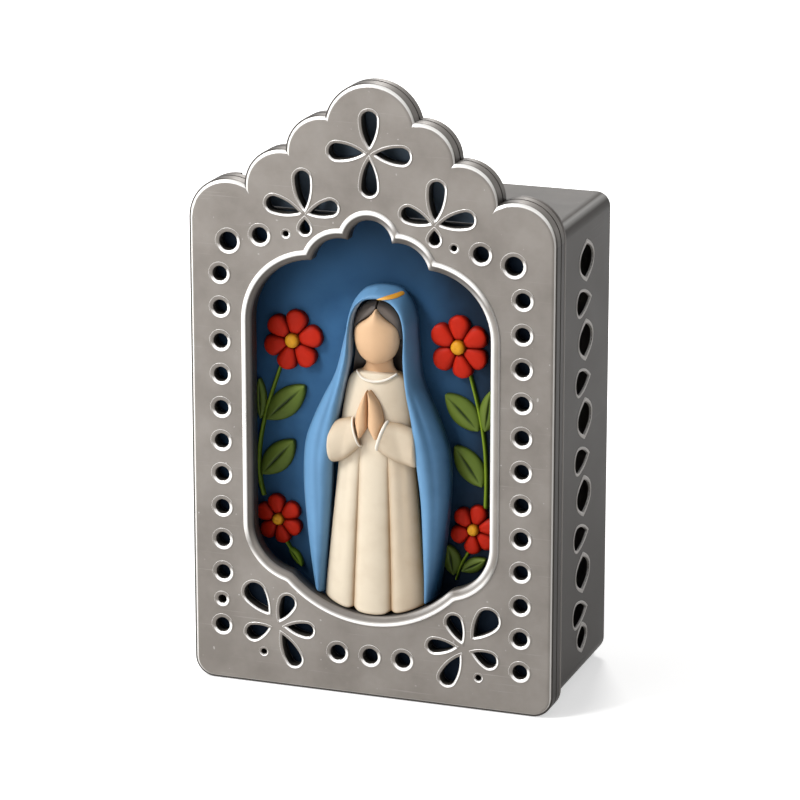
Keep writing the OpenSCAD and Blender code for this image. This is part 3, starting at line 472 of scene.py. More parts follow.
# %% Finishes for the CAD pieces
CAD_FINISHES = {
    "front_cover": cover_tin, "skirt_hem": hem_tin, "crest_back": navy_paint,
    "box_wrap": box_tin, "back_panel": box_tin, "niche_liner": blue_paint,
    "hanger_strap": box_tin, "hanger_ring": wire_steel,
}
for node_name, finish in CAD_FINISHES.items():
    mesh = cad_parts[node_name].data
    mesh.materials.clear()
    mesh.materials.append(finish)
print("finished CAD pieces:", len(CAD_FINISHES))

# %% [markdown]
# ## Smooth curves
# The relief is drawn from a few given numbers. These functions join them smoothly: a
# table by height, a curve through points, and the bells and ramps that shape folds, washes and
# painted shade.

# %% Smooth curves
def graded(table, z):
    """The value at z from pairs of z and value, joined smoothly."""
    zs = [row[0] for row in table]
    z = min(max(z, zs[0]), zs[-1])
    i = min(max(bisect_right(zs, z) - 1, 0), len(zs) - 2)

    def slope(k):
        a, b = table[max(k - 1, 0)], table[min(k + 1, len(table) - 1)]
        return (b[1] - a[1]) / (b[0] - a[0])

    (z0, v0), (z1, v1) = table[i], table[i + 1]
    step = z1 - z0
    u = (z - z0) / step
    return (v0 * (1 + 2 * u) * (1 - u) ** 2 + slope(i) * step * u * (1 - u) ** 2
            + v1 * u * u * (3 - 2 * u) + slope(i + 1) * step * u * u * (u - 1))


def through(points, steps):
    """A smooth curve through given points."""
    curve, last = [], len(points) - 1
    for i in range(last):
        a, b, c, d = (points[min(max(i + k, 0), last)] for k in (-1, 0, 1, 2))
        for step in range(steps):
            u = step / steps
            curve.append(tuple(
                0.5 * (2 * q + (r - p) * u + (2 * p - 5 * q + 4 * r - s) * u ** 2
                       + (3 * q - p - 3 * r + s) * u ** 3)
                for p, q, r, s in zip(a, b, c, d)))
    return curve + [points[-1]]


def swell(t):
    return math.sqrt(max(0, 1 - t * t))


def bell(value, middle, width):
    return math.exp(-((value - middle) / width) ** 2)


def ramp(value, low, high):
    """0 up to low, 1 from high on; the two may be the other way round."""
    return max(0, min(1, (value - low) / (high - low)))


def level(value):
    return lambda x, z, t, s: value


def round_columns(count, low=-1, high=1):
    """Column places from low to high that crowd together at both ends."""
    middle, half = (low + high) / 2, (high - low) / 2
    return [middle - half * math.cos(math.pi * j / count) for j in range(count + 1)]


print("a bell half way out:", round(bell(0.5, 0, 1), 2), "a ramp:", ramp(0.5, 0, 1))

# %% [markdown]
# ## Making a padded form
# Each piece of the relief is a padded form: it lies between a left and a right edge, with a
# front and a back face given as rise above the backdrop. It could be sculpted by hand, but a
# grid of points keeps the edges where the CAD has them. The columns crowd together towards
# the edges, where the form turns, and one subdivision rounds it off. In the functions that
# shape a form, t runs across it from -1 to 1 and s along it from 0 to 1.

# %% Making a padded form
LINER_SHEET_MM = 0.8
BACKDROP_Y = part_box("niche_liner")[1].y - LINER_SHEET_MM * MM
FIGURE_Z_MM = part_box("robe")[0].z / MM
RIM = 0.6
GLUE = 0.3
REAR_WASH = 0.85


def padded(left, right, columns, front, back, wash=level(0), pale=level(0), lift=None):
    """Grid rows of x, z, front rise, back rise, darker share (washes with painted shade) and paler
    share (paler edges with painted highlights).
    """
    rows = []
    for i, (a, b) in enumerate(zip(left, right)):
        s = i / (len(left) - 1)
        row = []
        for t in columns:
            k = (t + 1) / 2
            x, z = a[0] + (b[0] - a[0]) * k, a[1] + (b[1] - a[1]) * k
            up = lift(x, z, t) if lift else 0
            row.append((x, z + up, *(value(x, z, t, s) for value in (front, back, wash, pale))))
        rows.append(row)
    return rows


def make_piece(name, points, faces, finish, body, nodes=(), smooth_steps=0, amounts=None):
    """A smooth-shaded piece that rides on a body and stands for CAD nodes."""
    mesh = bpy.data.meshes.new(name)
    mesh.from_pydata(points, [], faces)
    for label, values in (amounts or {}).items():
        mesh.attributes.new(label, "FLOAT", "POINT").data.foreach_set("value", values)
    mesh.polygons.foreach_set("use_smooth", [True] * len(mesh.polygons))
    mesh.materials.append(finish)
    piece = bpy.data.objects.new(name, mesh)
    bpy.context.scene.collection.objects.link(piece)
    if smooth_steps:
        rounding = piece.modifiers.new("Rounding", "SUBSURF")
        rounding.levels = rounding.render_levels = smooth_steps
    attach(piece, body)
    if nodes:
        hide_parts(*nodes)
    return piece


def on_figure(x, z):
    return x, FIGURE_Z_MM + z


def as_drawn(x, z):
    return x, z


def add_tube(faces, rings):
    """Adds the faces between rings of point numbers, each ring and the next."""
    for here, after in zip(rings, rings[1:]):
        faces += [(here[j - 1], here[j], after[j], after[j - 1]) for j in range(len(here))]


def make_relief(node, grids, finish, place=on_figure):
    """One piece from padded grids, on the box, in place of a CAD node."""
    points, faces, washes, pales = [], [], [], []
    for rows in grids:
        n, m = len(rows), len(rows[0])
        first = len(points)
        for face in (2, 3):
            for row in rows:
                for p in row:
                    x, z = place(p[0], p[1])
                    points.append((x * MM, BACKDROP_Y - p[face] * MM, z * MM))
                    # Rear faces take at least this share of the darker colour: painted shade where
                    # each form turns in to the backdrop
                    washes.append(p[4] if face == 2 else max(p[4], REAR_WASH))
                    pales.append(p[5])

        fronts = [[first + i * m + j for j in range(m)] for i in range(n)]
        rings = [front + [k + n * m for k in reversed(front)] for front in fronts]
        add_tube(faces, rings)
        for ring, way in ((rings[0], 1), (rings[-1], -1)):
            faces += [(ring[j], ring[-1 - j], ring[-2 - j], ring[j + 1])[::way]
                      for j in range(m - 1)]
    make_piece(f"{node}_relief", points, faces, finish, "box", [node], 1,
               {"wash": washes, "pale": pales})


print("padded forms stand on the backdrop at", round(BACKDROP_Y / MM, 2), "mm")

# %% [markdown]
# ## Robe
# The robe falls in three round columns that part at two deep pleats, and its hem dips under
# each of them. The columns of the grid crowd at the pleats, so that the pleats stay crisp.
# The whole figure leans back a little, so its widest plane sinks towards the head.

# %% Robe
FIGURE_LEAN = [(0, 13), (85, 9.6), (160, 5.6)]
ROBE_HALVES = [(0, 25.4), (18, 24.3), (36, 22.8), (58, 20.7), (70, 19.6), (82, 18.8), (94, 18.2),
               (100, 17.3), (106, 16.4), (112, 15.2), (115.4, 13.8), (118, 10.6)]
ROBE_BULGES = [(0, 7.2), (60, 6.6), (90, 6), (110, 5.6), (118, 4.4)]
PLEAT_DEPTHS = [(0, 3.4), (40, 2.7), (74, 1.4), (92, 0)]
PLEAT_WASHES = [(0, 0.55), (60, 0.45), (92, 0)]
PLEAT_AT = 0.375
PLEAT_HALF, NOTCH_HALF, SIDE_FOLD_HALF = 0.06, 0.07, 0.08
LOBES = {(-1, -PLEAT_AT): 14, (-PLEAT_AT, PLEAT_AT): 18, (PLEAT_AT, 1): 14}
SIDE_FOLD_AT = 0.7
SIDE_FOLD_DEPTHS = [(0, 0.14), (40, 0.7), (72, 0.7), (86, 0)]
BOWL_R = 55
HEM_LIFT_Z = 30
HEM_NOTCH, HEM_NOTCH_Z = 1.3, 9
HEM_WASH, HEM_WASH_Z = 0.5, 1.6
EDGE_WASH, SHADE_WASH = 0.4, 0.5
ROBE_HEIGHTS = [0, 0.8, 2, 4, 6.5, 9, *range(12, 112, 4), 110, 112, 114, 115.4, 116.6, 117.4, 118]


def lean(z):
    """Rise of the figure's widest plane, by height."""
    return graded(FIGURE_LEAN, z)


def rounded_back(x, z, t, s):
    return lean(z) - RIM - (lean(z) - RIM - GLUE) * swell(t)


def left_side(halves):
    return [(-w, z) for z, w in halves]


def right_side(halves):
    return [(w, z) for z, w in halves]


def lobe(t):
    """1 along the middle of each column of the robe, 0 in its pleats."""
    for low, high in LOBES:
        if low <= t <= high:
            return swell((2 * t - low - high) / (high - low))
    return 0


def chest(x, z):
    """Front of the robe without its pleats, where other pieces lie on it."""
    t = max(-1, min(1, x / graded(ROBE_HALVES, z)))
    return lean(z) + RIM + graded(ROBE_BULGES, z) * swell(t) + GLUE


def robe_front(x, z, t, s):
    pleat = graded(PLEAT_DEPTHS, z) * (1 - lobe(t))
    side_fold = bell(abs(t), SIDE_FOLD_AT, SIDE_FOLD_HALF) * graded(SIDE_FOLD_DEPTHS, z)
    return lean(z) + RIM + swell(t) * (graded(ROBE_BULGES, z) - pleat - side_fold)


def hem_lift(x, z, t):
    bowl = (BOWL_R - math.sqrt(BOWL_R ** 2 - x * x)) * ramp(z, HEM_LIFT_Z, 0)
    return bowl + HEM_NOTCH * bell(abs(t), PLEAT_AT, NOTCH_HALF) * ramp(z, HEM_NOTCH_Z, 0)


# Darker in the pleats, a wash and the painted shade in them; painted shade at the hem and on the
# right-hand side, away from the light; and darker towards the outer edges
def robe_wash(x, z, t, s):
    in_pleat = bell(abs(t), PLEAT_AT, PLEAT_HALF) * graded(PLEAT_WASHES, z)
    hem = HEM_WASH * ramp(z, HEM_WASH_Z, 0)
    sides = EDGE_WASH * ramp(abs(t), 0.86, 1) + SHADE_WASH * ramp(t, 0.15, 1)
    return min(1, in_pleat + hem + sides)


robe_columns = [-1]
for ends, count in LOBES.items():
    robe_columns += round_columns(count, *ends)[1:]
robe_rows = [(z, graded(ROBE_HALVES, z)) for z in ROBE_HEIGHTS]
robe = padded(left_side(robe_rows), right_side(robe_rows), robe_columns, robe_front, rounded_back,
              robe_wash, lift=hem_lift)
make_relief("robe", [robe], robe_paint)
print("robe:", len(robe_rows), "rows of", len(robe_columns))

# %% [markdown]
# ## Sleeves and hands
# Two bell sleeves meet in front of the body, each with a rolled cuff, and the hands are
# pressed together between them as two smooth leaf shapes. The cuffs are curves with a round
# bevel, because a bead keeps its thickness along any path.

# %% Sleeves and hands
SLEEVES = {
    "left": ([(-24, 79), (-23, 87), (-19.6, 93.2), (-15, 95.4), (-10.2, 96.4)],
             [(-23.6, 75.6), (-21.4, 73.4), (-16.4, 74.2), (-11, 78), (-5.8, 83)]),
    "right": ([(21.6, 79.4), (21.4, 74.6), (13.8, 76.2), (7.6, 79), (2.6, 82.4)],
              [(21.4, 84), (21.2, 88.6), (19.6, 93), (13.2, 95.3), (7.2, 95.8)]),
}
SLEEVE_FLOOR = 14.6
SLEEVE_TUCK, TUCK_END = 2.8, 0.3
SLEEVE_EDGE, SLEEVE_CROWN = 1, 4.2
HAND_EDGE, HAND_CROWN = 1.4, 3.4
PALMS_X = -2.2
PALM = [(3.6, 87), (2.6, 88.6), (1.3, 90.6), (0.14, 93), (0.1, 98), (0.1, 104), (0.1, 110)]
HANDS = {
    "left": (-1, [(4.4, 87.4), (5.1, 89.8), (5.8, 92.4), (6.4, 95), (5.8, 98.6), (4, 104),
                  (0.7, 110.6)]),
    "right": (1, [(5.4, 87.4), (6.3, 89.8), (7.1, 92.4), (7.8, 95), (7.2, 99.4), (5.2, 105),
                  (0.7, 110.6)]),
}
CUFF_R = {"left": 0.5, "right": 0.85}
CUFF_SUNK = 0.3


def tuck(s):
    return ramp(s, TUCK_END, 0)


def on_chest(x, z, t, s):
    return max(SLEEVE_FLOOR - SLEEVE_TUCK * tuck(s), chest(abs(x), z))


def on_chest_by(edge, crown):
    return lambda x, z, t, s: on_chest(x, z, t, s) + edge + crown * swell(t) * (1 - 0.4 * tuck(s))


# A little darker all over, and painted shade towards its edges, where the sleeve turns away
def sleeve_wash(x, z, t, s):
    return 0.2 + 0.4 * ramp(abs(t), 0.7, 1)


# Painted shade along the edge where the hands meet, and less along the outer edge
def hand_wash(x, z, t, s):
    return 0.45 * ramp(t, -0.7, -1) + 0.25 * ramp(t, 0.7, 1)


def add_roll(name, path, radius, finish):
    """A round bead along a path of x, z and rise on the figure."""
    roll = bpy.data.curves.new(name, "CURVE")
    roll.dimensions = "3D"
    roll.bevel_depth = radius * MM
    roll.bevel_resolution = 4
    roll.use_fill_caps = True
    line = roll.splines.new("POLY")
    line.points.add(len(path) - 1)
    for point, (x, z, rise) in zip(line.points, path):
        px, pz = on_figure(x, z)
        point.co = (px * MM, BACKDROP_Y - rise * MM, pz * MM, 1)
    roll.materials.append(finish)
    piece = bpy.data.objects.new(name, roll)
    bpy.context.scene.collection.objects.link(piece)
    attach(piece, "box")


for label, (edge, other_edge) in SLEEVES.items():
    sleeve = padded(through(edge, 5), through(other_edge, 5), round_columns(14),
                    on_chest_by(SLEEVE_EDGE, SLEEVE_CROWN), on_chest, sleeve_wash)
    make_relief(f"{label}_sleeve", [sleeve], robe_paint)
    cuff_path = [(p[0], p[1], p[2] - CUFF_SUNK * CUFF_R[label]) for p in sleeve[-1]]
    add_roll(f"{label}_cuff", cuff_path, CUFF_R[label], cuff_paint)
palm = through(PALM, 4)
for label, (side, outer) in HANDS.items():
    hand = padded(palm, through(outer, 4), round_columns(10), on_chest_by(HAND_EDGE, HAND_CROWN),
                  on_chest, hand_wash)
    make_relief(f"{label}_hand", [hand], skin_paint,
                lambda x, z: on_figure(PALMS_X + side * x, z))
print("arms:", len(SLEEVES), "sleeves with cuffs,", len(HANDS), "hands")

# %% [markdown]
# ## Head
# The face is a plain smooth egg with no features, as on many such figures, and runs to a
# point where the hair parts. The hair is a dark form behind it, a little wider on the right to
# fill the hood, with two smooth locks that sweep from the parting to the temples.

# %% Head
NECK_HALVES = [(114.6, 10.8), (117.6, 9.6), (119, 8), (121, 6.9), (124, 6.4), (127, 6.2)]
NECK_HEIGHTS = [114.6 + 1.03 * i for i in range(13)]
NECK_MID, NECK_BULGE, NECK_REAR = 6.4, 2.6, 3.2
FACE_HALVES = [(122.9, 2.6), (123.8, 5.4), (126.4, 8.5), (130.8, 10.6), (136, 11.2), (139.4, 10.6),
               (141.6, 8.4), (143.8, 5), (146.2, 2.4), (148.8, 0.5)]
FACE_MID, FACE_BULGE, FACE_RIDGE = 10, 5.6, 0.5
HAIR_HALVES = [(113, 14.4), (118.6, 13.6), (126, 12.8), (136, 12), (144, 10.6), (149, 7.6),
               (152, 3)]
HAIR_CROWN = [(113, 2.2), (118.6, 2.4), (127, 2.6), (132, 6.6), (152, 7)]
HAIR_SIDES = [(113, 4), (118.6, 4), (127, 3.6), (132, 0), (152, -3)]
HAIR_RIGHT = 1.9
HAIR_WASH = 0.5
LOCK_OUTER = [(0.3, 152.8), (4.2, 152.1), (8.2, 149.6), (10.9, 145.8), (12.1, 140.8), (12.3, 134.6)]
LOCK_INNER = [(0.3, 149.2), (1.9, 146.6), (4.6, 144.3), (8, 142), (10.6, 139.4), (11.7, 135)]
LOCK_BACK, LOCK_RISE, LOCK_SLOPE, LOCK_BULGE = 6, 7.8, 1.75, 1.9


def neck_front(x, z, t, s):
    return NECK_MID + RIM + NECK_BULGE * swell(t)


def neck_back(x, z, t, s):
    return NECK_MID - NECK_REAR * swell(t)


def face_front(x, z, t, s):
    across = FACE_BULGE * swell(t) + FACE_RIDGE * (1 - abs(t))
    return FACE_MID + RIM + across * math.sin(math.pi * (0.08 + 0.86 * s)) ** 0.5


# Painted shade towards the edges of the face and on the chin
def face_wash(x, z, t, s):
    return 0.3 * ramp(abs(t), 0.8, 1) + 0.35 * ramp(s, 0.4, 0)


def hair_front(x, z, t, s):
    return graded(HAIR_CROWN, z) + graded(HAIR_SIDES, z) * abs(t) ** 3


def lock_front(x, z, t, s):
    along = 0.5 + 0.5 * math.sin(math.pi * min(1, s + 0.12))
    return LOCK_RISE + LOCK_SLOPE * (t + 1) + LOCK_BULGE * swell(t) * along


# Darker towards the edges of each lock
def lock_wash(x, z, t, s):
    return 0.9 * ramp(abs(t), 0.6, 1)


# A painted sheen along the middle of each lock
def lock_pale(x, z, t, s):
    return 0.6 * bell(t, 0.1, 0.4) * bell(s, 0.45, 0.4)


neck_rows = [(z, graded(NECK_HALVES, z)) for z in NECK_HEIGHTS]
# The neck is painted darker towards its top: painted shade under the face
neck = padded(left_side(neck_rows), right_side(neck_rows), round_columns(14), neck_front, neck_back,
              lambda x, z, t, s: 0.45 * s)
make_relief("neck", [neck], skin_paint)
face_rows = through(FACE_HALVES, 4)
face = padded(left_side(face_rows), right_side(face_rows), round_columns(20), face_front,
              level(FACE_MID - RIM / 2), face_wash)
make_relief("face", [face], skin_paint)
hair_rows = through(HAIR_HALVES, 5)
hair_right = [(w + HAIR_RIGHT * ramp(z, 116, 126), z) for z, w in hair_rows]
hair_grids = [padded(left_side(hair_rows), hair_right, round_columns(16), hair_front, level(GLUE),
                     level(HAIR_WASH))]
for side in (-1, 1):
    outer, inner = ([(side * x, z) for x, z in through(edge, 5)]
                    for edge in (LOCK_OUTER, LOCK_INNER))
    hair_grids.append(padded(outer, inner, round_columns(12), lock_front, level(LOCK_BACK),
                             lock_wash, lock_pale))
make_relief("hair", hair_grids, hair_paint)
print("head: face, neck and hair with 2 locks")

# %% [markdown]
# ## Mantle
# The mantle is one long padded form that runs up one side, round the hood and down the other.
# Soft folds start under the shoulders, with painted shade in them, and the outer edge, the
# right-hand side and the foot are painted darker as shade. Its inner edge is painted pale as a
# highlight, most at the top of the hood, and the hood leans a little to the right.

# %% Mantle
MANTLE_OUTER = [(30, 9.2), (32.2, 20), (35, 40), (37, 62), (36.4, 80), (32.6, 92), (27.2, 104),
                (21.2, 117), (17.9, 136), (15.6, 149), (10.8, 156.8), (5.6, 159.4), (0, 160)]
MANTLE_INNER = [(25.8, 7.2), (25.2, 20), (23.9, 40), (22.6, 62), (21.4, 76), (19.8, 88), (18, 99),
                (15.5, 111), (13, 124), (12.4, 138), (10.9, 147), (6.2, 152.6), (0, 154)]
MANTLE_BULGE, MANTLE_ROLL = 5.6, 0.4
MANTLE_STEPS = 6
FOLD_DEPTHS = [(10, 0.1), (40, 0.3), (80, 0.7), (100, 0.8), (118, 0), (160, 0)]
FOLD_HALF, FOLD_MID_Z = 0.22, 80
FOLD_LINES = (0.1, -0.006), (-0.05, 0.003)  # left and right: place in the middle, drift
FOLD_WASH, OUTER_WASH = 0.45, 0.5
HOOD_RISE = [(10, 0), (54, 0), (76, 3.4), (96, 3.4), (118, 4.2), (150, 4.2), (160, 3)]
HOOD_LEAN = [(0, 0), (112, 0), (138, 1.5), (152, 2.2), (160, 3)]
HOOD_OPENS = [(0, 0), (104, 0), (124, 1.3), (138, 2), (150, 1.2), (154, 0.6)]
RIGHT_WASHES = [(10, 0.9), (60, 0.85), (100, 0.7), (125, 0.35), (160, 0.3)]
FOOT_WASHES = [(10, 0.35), (30, 0.105), (50, 0), (160, 0)]
PALE_EDGES = [(10, 0), (80, 0.12), (110, 0.3), (135, 0.6), (152, 0.95), (160, 1)]


def mantle_edge(points, table, from_x, to_x):
    """An edge up one side and down the other, moved right by height from one x to another."""
    half = through(points, MANTLE_STEPS)
    edge = [(-x, z) for x, z in half] + half[-2::-1]
    return [(x + graded(table, z) * ramp(x, from_x, to_x), z) for x, z in edge]


def mantle_fold(t, z, side):
    middle, drift = FOLD_LINES[0 if side < 0 else 1]
    return graded(FOLD_DEPTHS, z) * bell(t, middle + drift * (z - FOLD_MID_Z), FOLD_HALF)


def mantle_front(x, z, t, s):
    bulge = MANTLE_BULGE * swell(t) * (1 + MANTLE_ROLL * t) - mantle_fold(t, z, x) * swell(t)
    return lean(z) + RIM + bulge + graded(HOOD_RISE, z) * (1 + t) / 2


def mantle_back(x, z, t, s):
    return rounded_back(x, z, t, s) + graded(HOOD_RISE, z) * max(0, t) ** 2


# Painted shade in the folds, on the outer edge, on the right-hand side away from the light, and
# towards the foot
def mantle_wash(x, z, t, s):
    outer = OUTER_WASH * ramp(t, -0.7, -1)
    if x > 0:
        outer = max(outer, graded(RIGHT_WASHES, z) * ramp(t, 0.35, -1))
    return min(1, FOLD_WASH * mantle_fold(t, z, x) + outer + graded(FOOT_WASHES, z))


# A pale painted highlight along the inner edge, strongest at the top of the hood
def mantle_pale(x, z, t, s):
    return graded(PALE_EDGES, z) * ramp(t, 0.9, 1)


outer_edge = mantle_edge(MANTLE_OUTER, HOOD_LEAN, -40, -30)
inner_edge = mantle_edge(MANTLE_INNER, HOOD_OPENS, -6, 6)
mantle = padded(outer_edge, inner_edge, round_columns(24), mantle_front, mantle_back,
                mantle_wash, mantle_pale)
make_relief("mantle", [mantle], mantle_paint)
print("mantle:", len(outer_edge), "rows")

# %% [markdown]
# ## Band and collar
# A gold band crosses the hood from its inner edge to its outer one, and a white collar closes
# the robe. Both are thin strips that read the rise of the form below, so they lie close on it.

# %% Band and collar
BAND_FROM = 0.0083
BAND_DRIFT = 0.068
BAND_INSET = 0.03
BAND_TURN = 0.6
BAND_HALVES = (0.0035, 0.0075)
BAND_LIFT, BAND_BULGE, BAND_SUNK = 0.15, 0.55, 0.4
BAND_STEPS = 22
BAND_COLUMNS = round_columns(6)


def along_edge(edge, share):
    i = share * (len(edge) - 1)
    k = min(int(i), len(edge) - 2)
    return [edge[k][n] + (edge[k + 1][n] - edge[k][n]) * (i - k) for n in (0, 1)]


def band_point(k, sideways):
    """A point of the gold band, as far along it as k, on the mantle's front."""
    share = BAND_INSET + (1 - BAND_INSET) * k
    at = 0.5 + BAND_FROM + BAND_DRIFT * k + sideways
    inner, outer = along_edge(inner_edge, at), along_edge(outer_edge, at)
    x, z = (inner[n] + (outer[n] - inner[n]) * share for n in (0, 1))
    return x, z, mantle_front(x, z, 1 - 2 * share, at) - BAND_TURN * ramp(k, 0.86, 1)


band_rows = []
for step in range(BAND_STEPS + 1):
    k = step / BAND_STEPS
    half = BAND_HALVES[0] + BAND_HALVES[1] * math.sin(math.pi * (0.08 + 0.8 * k)) ** 0.8
    row = []
    for t in BAND_COLUMNS:
        x, z, rise = band_point(k, half * t)
        # Darker towards its edges as painted shade, and paler towards its inner end
        row.append((x, z, rise + BAND_LIFT + BAND_BULGE * swell(t), rise - BAND_SUNK,
                    0.4 * abs(t) ** 3, 0.6 * (1 - k) ** 3))
    band_rows.append(row)
make_relief("hood_band", [band_rows], gold_paint)

COLLAR_PATH = [(-10.2, 118.2), (-6.2, 115.3), (-0.6, 114.3), (5.2, 115.4), (10.2, 118.2)]
COLLAR_HALF, COLLAR_LIFT, COLLAR_BULGE = 0.62, 0.1, 0.9
COLLAR_TOP = 117.5


def heading(path, i):
    """The direction of a path at its point i."""
    ahead, behind = path[min(i + 1, len(path) - 1)], path[max(i - 1, 0)]
    return Vector((ahead[0] - behind[0], ahead[1] - behind[1])).normalized()


collar_path = through(COLLAR_PATH, 6)
collar_rows = []
for i, (x, z) in enumerate(collar_path):
    along = heading(collar_path, i)
    half = COLLAR_HALF * (0.7 + 0.3 * math.sin(math.pi * i / (len(collar_path) - 1)))
    row = []
    for t in round_columns(8):
        px, pz = x - along.y * half * t, z + along.x * half * t
        rise = chest(px, min(pz, COLLAR_TOP))
        row.append((px, pz, rise + COLLAR_LIFT + COLLAR_BULGE * swell(t), rise - GLUE, 0, 0))
    collar_rows.append(row)
make_relief("collar", [collar_rows], cuff_paint)
print("band:", len(band_rows), "rows, collar:", len(collar_rows))

# %% [markdown]
# ## Flowers
# Each flower has six plump petals round a domed eye. The petals are widest past their middle
# and nearly touch. One petal is drawn pointing right and then turned to each bearing. The
# centres come from the frame.

# %% Flowers
FLOWERS = {  # radius, bearings of the petals
    "upper_left_flower": (15.1, [14, 80, 140, 199, 252, 310]),
    "upper_right_flower": (15.1, [30, 90, 148, 222, 281, 330]),
    "lower_left_flower": (12.2, [36, 101, 160, 228, 282, 333]),
    "lower_right_flower": (12.2, [12, 76, 134, 204, 266, 318]),
}
PETAL_CLEAR = -0.01
PETAL_WIDE = 0.42
PETAL_EDGE, PETAL_BULGE, PETAL_CREASE = 1.4, 3, 0.35
PETAL_CAP = (0.6, 0.41)
PETAL_STEPS = round_columns(13, 0, 1)
EYE_SHARE = 0.235
EYE_RINGS = [(1, 0), (1, 3.2), (0.97, 4.1), (0.86, 4.9), (0.66, 5.4), (0.4, 5.65), (0.15, 5.6),
             (0.02, 5.45)]  # share of the eye's radius, rise
EYE_SPOKES = 28


def petal_side(s, wedge):
    """Half-width of one side of a petal: a wedge with a round end."""
    p = EYE_SHARE + (1 - EYE_SHARE) * s
    end = PETAL_WIDE * swell(max(0, p - PETAL_CAP[0]) / PETAL_CAP[1])
    side = p * math.tan(math.radians(wedge)) - PETAL_CLEAR
    return max(0.02, (side ** -6 + max(end, 0.01) ** -6) ** (-1 / 6))


def petal_front(x, z, t, s):
    body = math.sin(math.pi * (0.1 + 0.82 * s)) ** 0.5
    crease = PETAL_CREASE * bell(t, 0, 0.16) * (1 - s)
    return PETAL_EDGE + (PETAL_BULGE * swell(t) ** 0.7 - crease) * body


# Darker at its sides and next to the eye: painted shade between the petals and round the eye
def petal_wash(x, z, t, s):
    return min(1, 0.75 * ramp(abs(t), 0.62, 1) + 0.7 * bell(s, 0, 0.16))


def centre_mm(node):
    low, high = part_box(node)
    return (low.x + high.x) / 2 / MM, (low.z + high.z) / 2 / MM


def turned_grid(rows, x0, z0, turn):
    """Grid rows turned by degrees about their origin, which moves to x0, z0."""
    c, s = math.cos(math.radians(turn)), math.sin(math.radians(turn))
    return [[(x0 + p[0] * c - p[1] * s, z0 + p[0] * s + p[1] * c, *p[2:]) for p in row]
            for row in rows]


def circle(c, r, count):
    return [(c[0] + r * math.cos(a), c[1] + r * math.sin(a))
            for a in [2 * math.pi * i / count for i in range(count)]]


eye_points, eye_faces, eye_washes = [], [], []
for flower, (radius, turns) in FLOWERS.items():
    cx, cz = centre_mm(flower)
    start = EYE_SHARE * radius + 0.1
    grids = []
    for k, turn in enumerate(turns):
        after = (turns[(k + 1) % len(turns)] - turn) % 360 / 2
        before = (turn - turns[k - 1]) % 360 / 2
        upper, lower = ([(start + (radius - start) * s, way * radius * petal_side(s, wedge))
                         for s in PETAL_STEPS] for way, wedge in ((1, after), (-1, before)))
        petal = padded(upper, lower, round_columns(14), petal_front, level(0), petal_wash)
        grids.append(turned_grid(petal, cx, cz, turn))
    make_relief(flower, grids, petal_paint, as_drawn)
    base = len(eye_points)
    for share, rise in EYE_RINGS:
        for x, z in circle((cx, cz), EYE_SHARE * radius * share, EYE_SPOKES):
            eye_points.append((x * MM, BACKDROP_Y - rise * MM, z * MM))
            # The eye is painted dark at its foot, as shade where it meets the petals, and a little
            # darker out from its middle
            eye_washes.append(0.9 if share > 0.96 else 0.25 * share)
    rings = [[base + k * EYE_SPOKES + i for i in range(EYE_SPOKES)] for k in range(len(EYE_RINGS))]
    add_tube(eye_faces, rings)
    eye_faces += [rings[0][::-1], rings[-1]]
make_piece("flower_eyes_relief", eye_points, eye_faces, eye_paint, "box",
           ["flower_eyes"], 0, {"wash": eye_washes, "pale": [0] * len(eye_points)})
print("flowers:", len(FLOWERS))

# %% [markdown]
# ## Stems and leaves
# A stem bows from each upper flower to the lower one, and leaves grow from it. Each leaf has
# a groove along its middle, painted dark there as a wash and as the shade in the groove, and a
# painted highlight along one half. Leaves are placed by a step along a stem, so that they stay
# on it.

# %% Stems and leaves
UPPER_R, LOWER_R = 14.28, 11.6
STEM_HALF = 1.1
STEM_EDGE, STEM_BULGE = 0.6, 1.6
LEAF_GAP = 0.5
LEAF_EDGE, LEAF_BULGE, LEAF_GROOVE, LEAF_CURL = 0.7, 2.1, 0.8, 0.5
VINE_STEPS = 12
LEAF_COLUMNS = round_columns(8, -1, 0) + round_columns(8, 0, 1)[1:]


def off(node, radius, x, z):
    cx, cz = centre_mm(node)
    return cx + radius * x, cz + radius * z


def vine(low, top, bow, droop=1):
    (x0, z0), (x1, z1) = off(*low), off(*top)
    return [(x0 + (x1 - x0) * k + bow * math.sin(math.pi * k ** droop), z0 + (z1 - z0) * k)
            for k in [i / VINE_STEPS for i in range(VINE_STEPS + 1)]]


STEMS = {  # lower and upper end: flower, its radius, and the place as shares of the radius
    "left_vine": vine(("lower_left_flower", LOWER_R, -0.7, 0.9),
                      ("upper_left_flower", UPPER_R, -0.46, -0.9), -5.6, 0.8),
    "right_vine": vine(("lower_right_flower", LOWER_R, 0.46, 0.9),
                       ("upper_right_flower", UPPER_R, 0.36, -0.9), 3.2),
    "left_shoot": vine(("lower_left_flower", LOWER_R, 0.78, -1.9),
                       ("lower_left_flower", LOWER_R, 0.28, -1), 0.6),
    "right_shoot": vine(("lower_right_flower", LOWER_R, -0.8, -2.3),
                        ("lower_right_flower", LOWER_R, -0.24, -1), -0.8),
}
LEAVES = {  # stem, step, side, bearing, length, width
    "left": [("left_vine", 7, 1, 43, 27, 13.4), ("left_vine", 2, 1, 48, 25, 13.2),
             ("left_vine", 7, -1, 91, 20, 6)],
    "right": [("right_vine", 7, -1, 135, 23.5, 13), ("right_vine", 2, -1, 126, 23.5, 13),
              ("right_vine", 7, 1, 82, 20.5, 9.4), ("right_shoot", 2, -1, 100, 15, 9.6),
              ("right_shoot", 4, 1, 30, 14, 7.2)],
}
SPROUT = (*STEMS["left_shoot"][9], -52, 11, 4.4)


